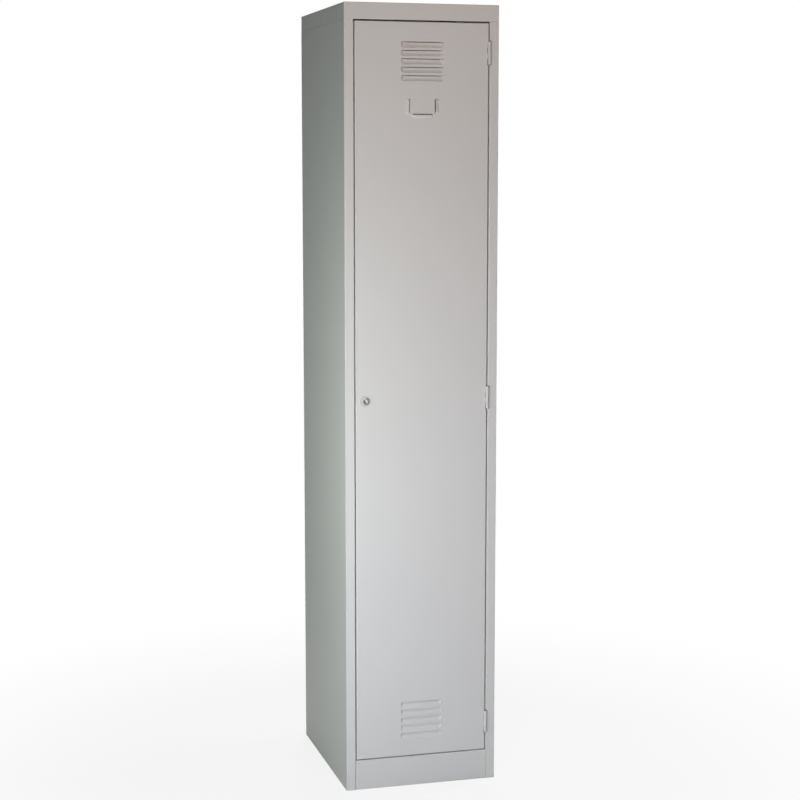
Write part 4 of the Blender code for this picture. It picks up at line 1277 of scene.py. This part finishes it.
def hexagon_nut(hardware):
    """Hexagon nut with chamfered corners on the lock's body."""
    corner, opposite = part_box("lock_nut")
    depth = opposite.y - corner.y
    radius = half_of("lock_nut").z / cos(pi / NUT_SIDES)
    nut = plate(arc(radius, 0, tau, NUT_SIDES)[:-1], depth, at_lock(corner.y))
    round_edges(nut, hardware.nut_edge, EDGE_STEPS, SHARP_ANGLE)
    bored = hardware.lock_body + ROOM
    front, rear = OVERCUT, -depth - OVERCUT
    profile = [(0, front), (bored, front), (bored, rear), (0, rear)]
    return carved(nut, [turned(profile, at_lock(corner.y), -REARWARD)])


def cam_plate(hardware):
    """Cam with a round eye and a narrower round end, its edges eased."""
    corner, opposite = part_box("lock_cam")
    tip = (0, corner.z + hardware.cam_tip - LOCK_AXIS.z)
    outline = arc(hardware.cam_eye, 0, pi, CAM_STEPS) + arc(hardware.cam_tip, pi, tau, CAM_STEPS, tip)
    bm = plate(outline, opposite.y - corner.y, at_lock(corner.y))
    round_edges(bm, hardware.cam_edge, EDGE_STEPS, FOLD_ANGLE)
    return bm


def cam_screw(hardware):
    """Screw with a domed, cross-slotted head that holds the cam on the plug."""
    corner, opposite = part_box("cam_screw")
    seat = high("lock_cam").y + ROOM
    head, end = opposite.y - seat, corner.y - seat
    shank = hardware.screw_shank
    profile = dome(half_of("cam_screw").x, head) + [(shank, 0), (shank, end), (0, end)]
    place = Matrix.Translation(at_lock(opposite.y))
    width, cross = hardware.screw_slot, hardware.screw_cross
    slots = [slot_cutter((width, head, cross), place), slot_cutter((cross, head, width), place)]
    return carved(turned(profile, at_lock(seat), REARWARD), slots)


class LOCKER_OT_lock(Operator):
    """Make the cam lock"""

    bl_idname = "locker.lock"
    bl_label = "Cam Lock"

    def execute(self, context):
        for name, make, body, slot, node in (
                ("lock_case", lock_case, "door", "chromed_lock", "lock_housing"),
                ("hexagon_nut", hexagon_nut, "door", "plain_steel", "lock_nut"),
                ("key_plug", key_plug, "lock", "chromed_lock", "lock_plug"),
                ("cam_plate", cam_plate, "lock", "plain_steel", "lock_cam"),
                ("cross_screw", cam_screw, "lock", "plain_steel", "cam_screw")):
            add_piece(name, make(context.scene.locker_hardware), body, slot, node)
        return {"FINISHED"}


# Stage

# Each lamp's name, place, target, size, share of the main lamp's power and colour
LAMPS = (
    ("low_lamp", (-0.46, -1.42, 0.32), (-0.10, FRONT, 0.32), (0.5, 0.5), 0.27, (0.81, 0.83, 1.00)),
    ("middle_lamp", (-0.50, -1.50, 0.90), (-0.10, FRONT, 0.90), (0.5, 0.5), 0.33, (1.00, 0.85, 0.96)),
    ("side_lamp", (-0.97, -0.80, 0.86), (-HALF_WIDTH, -0.10, 0.86), (0.5, 0.5), 0.30, (0.93, 1.00, 0.92)),
    ("high_lamp", (0.10, -1.70, 2.50), (0, FRONT, 1.50), (0.6, 0.6), 0.55, (1.00, 0.77, 0.69)),
    ("rear_lamp", (0.75, 2.60, 1.95), (0, BACK, 0.95), (1.2, 1.4), 2.7, (1.00, 0.98, 0.96)),
    ("right_lamp", (2.20, 0.50, 2.20), (HALF_WIDTH, 0, 0.95), (1.2, 1.2), 2.1, (1.00, 0.98, 0.96)),
)

# Each card's name, lower edge from left to right, height, and grey at its left end and from its middle on.
# Each card glows that grey and shows only in reflections, so it paints reflections: one paints the
# lock's metal its contrast, and one paints a darker sheen on the left wall
PAINTED_REFLECTION_CARDS = (
    ("lock_card", ((0.05, -2.30, 0), (0.75, -0.75, 0), (0.75, 0.90, 0)), 2.30, 0.75, 0.10),
    ("side_card", ((-2.00, 1.20, 0), (-0.80, 1.50, 0), (-0.28, 0.90, 0)), 2.60, 0.25, 0.20),
)
HIDDEN_RAYS = ("camera", "diffuse", "shadow", "transmission", "volume_scatter")


def lamp(name, place, target, size, power, shade):
    """A rectangular soft lamp that looks from a place at a target, and shows in no reflection."""
    data = bpy.data.lights.new(name, "AREA")
    data.shape = "RECTANGLE"
    data.size, data.size_y = size
    data.energy = power
    data.color = shade
    made = placed(name, data)
    made.location = place
    made.rotation_euler = (Vector(target) - Vector(place)).to_track_quat("-Z", "Y").to_euler()
    made.visible_camera = False
    made.visible_glossy = False


def white_floor(finish, stage):
    """White where it is seen, with a share of the locker's shadow near it, and pale to other light."""
    x, y = finish.along("X"), finish.along("Y")
    near = finish.math("SQRT", x * x + y * y).within(stage.shadow_near, stage.shadow_far)
    white = finish.node("ShaderNodeEmission", sockets={"Color": WHITE, "Strength": 1.0})
    pale = finish.node("ShaderNodeBsdfDiffuse", sockets={"Color": opaque((stage.floor_shade,) * 3)})
    share = finish.seen() * (1 - near * stage.shadow)
    mixed = finish.node("ShaderNodeMixShader", sockets={0: share, 1: pale, 2: white})
    finish.fill(finish.tree.nodes["Material Output"], {"Surface": mixed})
    finish.tree.nodes.remove(finish.shader)
    return finish.material


def painted_reflection_shade(finish, foot, left, right):
    """Painted reflection: glowing grey that changes from the card's left end to its middle, whatever the
    lamps are.
    """
    near_left = finish.along("X").within(foot[0][0], foot[1][0])
    shade = finish.mix(near_left, (right,) * 3, (left,) * 3)
    return finish.set(Base_Color=BLACK, Emission_Color=shade, Emission_Strength=1.0)


def painted_reflection_card(name, foot, height, left, right):
    """An upright glowing card that only reflections show, which paints a reflection."""
    card = mesh_object(name, folded(foot, [UP * height]))
    card.data.materials.append(painted_reflection_shade(Finish(name), foot, left, right))
    for ray in HIDDEN_RAYS:
        setattr(card, f"visible_{ray}", False)
    card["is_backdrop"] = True


def white_world(strength):
    """White behind the locker and in its reflections, and an even, weaker light from all round."""
    world = bpy.data.worlds.new("studio")
    bpy.context.scene.world = world
    world.use_nodes = True
    nodes = Nodes(world.node_tree)
    level = nodes.seen() * (1 - strength) + strength
    nodes.fill(world.node_tree.nodes["Background"], {"Color": WHITE, "Strength": level})


class LOCKER_OT_stage(Operator):
    """Set up the floor, the lamps, the white surroundings and the camera"""

    bl_idname = "locker.stage"
    bl_label = "Stage"

    def execute(self, context):
        stage = context.scene.locker_stage
        context.scene.view_settings.view_transform = "Standard"
        bm = bmesh.new()
        bmesh.ops.create_circle(bm, cap_ends=True, segments=ROUND_SIDES, radius=stage.floor_radius)
        floor = mesh_object("studio_floor", bm)
        floor.data.materials.append(white_floor(Finish("studio_floor_white"), stage))
        floor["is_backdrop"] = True
        # Glowing cards that paint reflections on the lock and on the left wall
        for card in PAINTED_REFLECTION_CARDS:
            painted_reflection_card(*card)
        white_world(stage.ambient)
        for name, place, target, size, power, shade in LAMPS:
            lamp(name, place, target, size, stage.key * power, shade)
        camera = placed("photo_camera", bpy.data.cameras.new("photo_camera"))
        camera.data.lens = stage.lens
        camera.location = stage.camera
        camera.rotation_euler = Euler((pi / 2 - stage.camera_pitch, 0, -stage.camera_yaw))
        context.scene.camera = camera
        return {"FINISHED"}


OPERATORS = (
    LOCKER_OT_stage, LOCKER_OT_sides, LOCKER_OT_carcass, LOCKER_OT_shelf, LOCKER_OT_rail, LOCKER_OT_door,
    LOCKER_OT_bumpers, LOCKER_OT_hinges, LOCKER_OT_lock)


class LOCKER_PT_pieces(Panel):
    """Lists the locker's pieces and their sizes"""

    bl_idname = "LOCKER_PT_pieces"
    bl_label = "Steel Clothes Locker"
    bl_space_type = "VIEW_3D"
    bl_region_type = "UI"
    bl_category = "Locker"

    def draw(self, context):
        for operator in OPERATORS:
            self.layout.operator(operator.bl_idname)
        for name, group in GROUPS.items():
            column = self.layout.column(align=True)
            column.label(text=group.__doc__)
            for prop in group.__annotations__:
                column.prop(getattr(context.scene, name), prop)


CLASSES = (*GROUPS.values(), *OPERATORS, LOCKER_PT_pieces)


def register():
    for cls in CLASSES:
        bpy.utils.register_class(cls)
    for name, group in GROUPS.items():
        setattr(bpy.types.Scene, name, PointerProperty(type=group))


def unregister():
    for name in GROUPS:
        delattr(bpy.types.Scene, name)
    for cls in reversed(CLASSES):
        bpy.utils.unregister_class(cls)


def write_sizes():
    boxes = {"cad": CAD_BOX, "visual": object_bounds()}
    {name: [list(corner) for corner in box] for name, box in boxes.items()}


def main():
    register()
    bpy.ops.locker.stage()
    bpy.ops.locker.sides()
    bpy.ops.locker.carcass()
    bpy.ops.locker.shelf()
    bpy.ops.locker.rail()
    bpy.ops.locker.door()
    bpy.ops.locker.bumpers()
    bpy.ops.locker.hinges()
    bpy.ops.locker.lock()
    write_sizes()


if __name__ == "__main__":
    main()
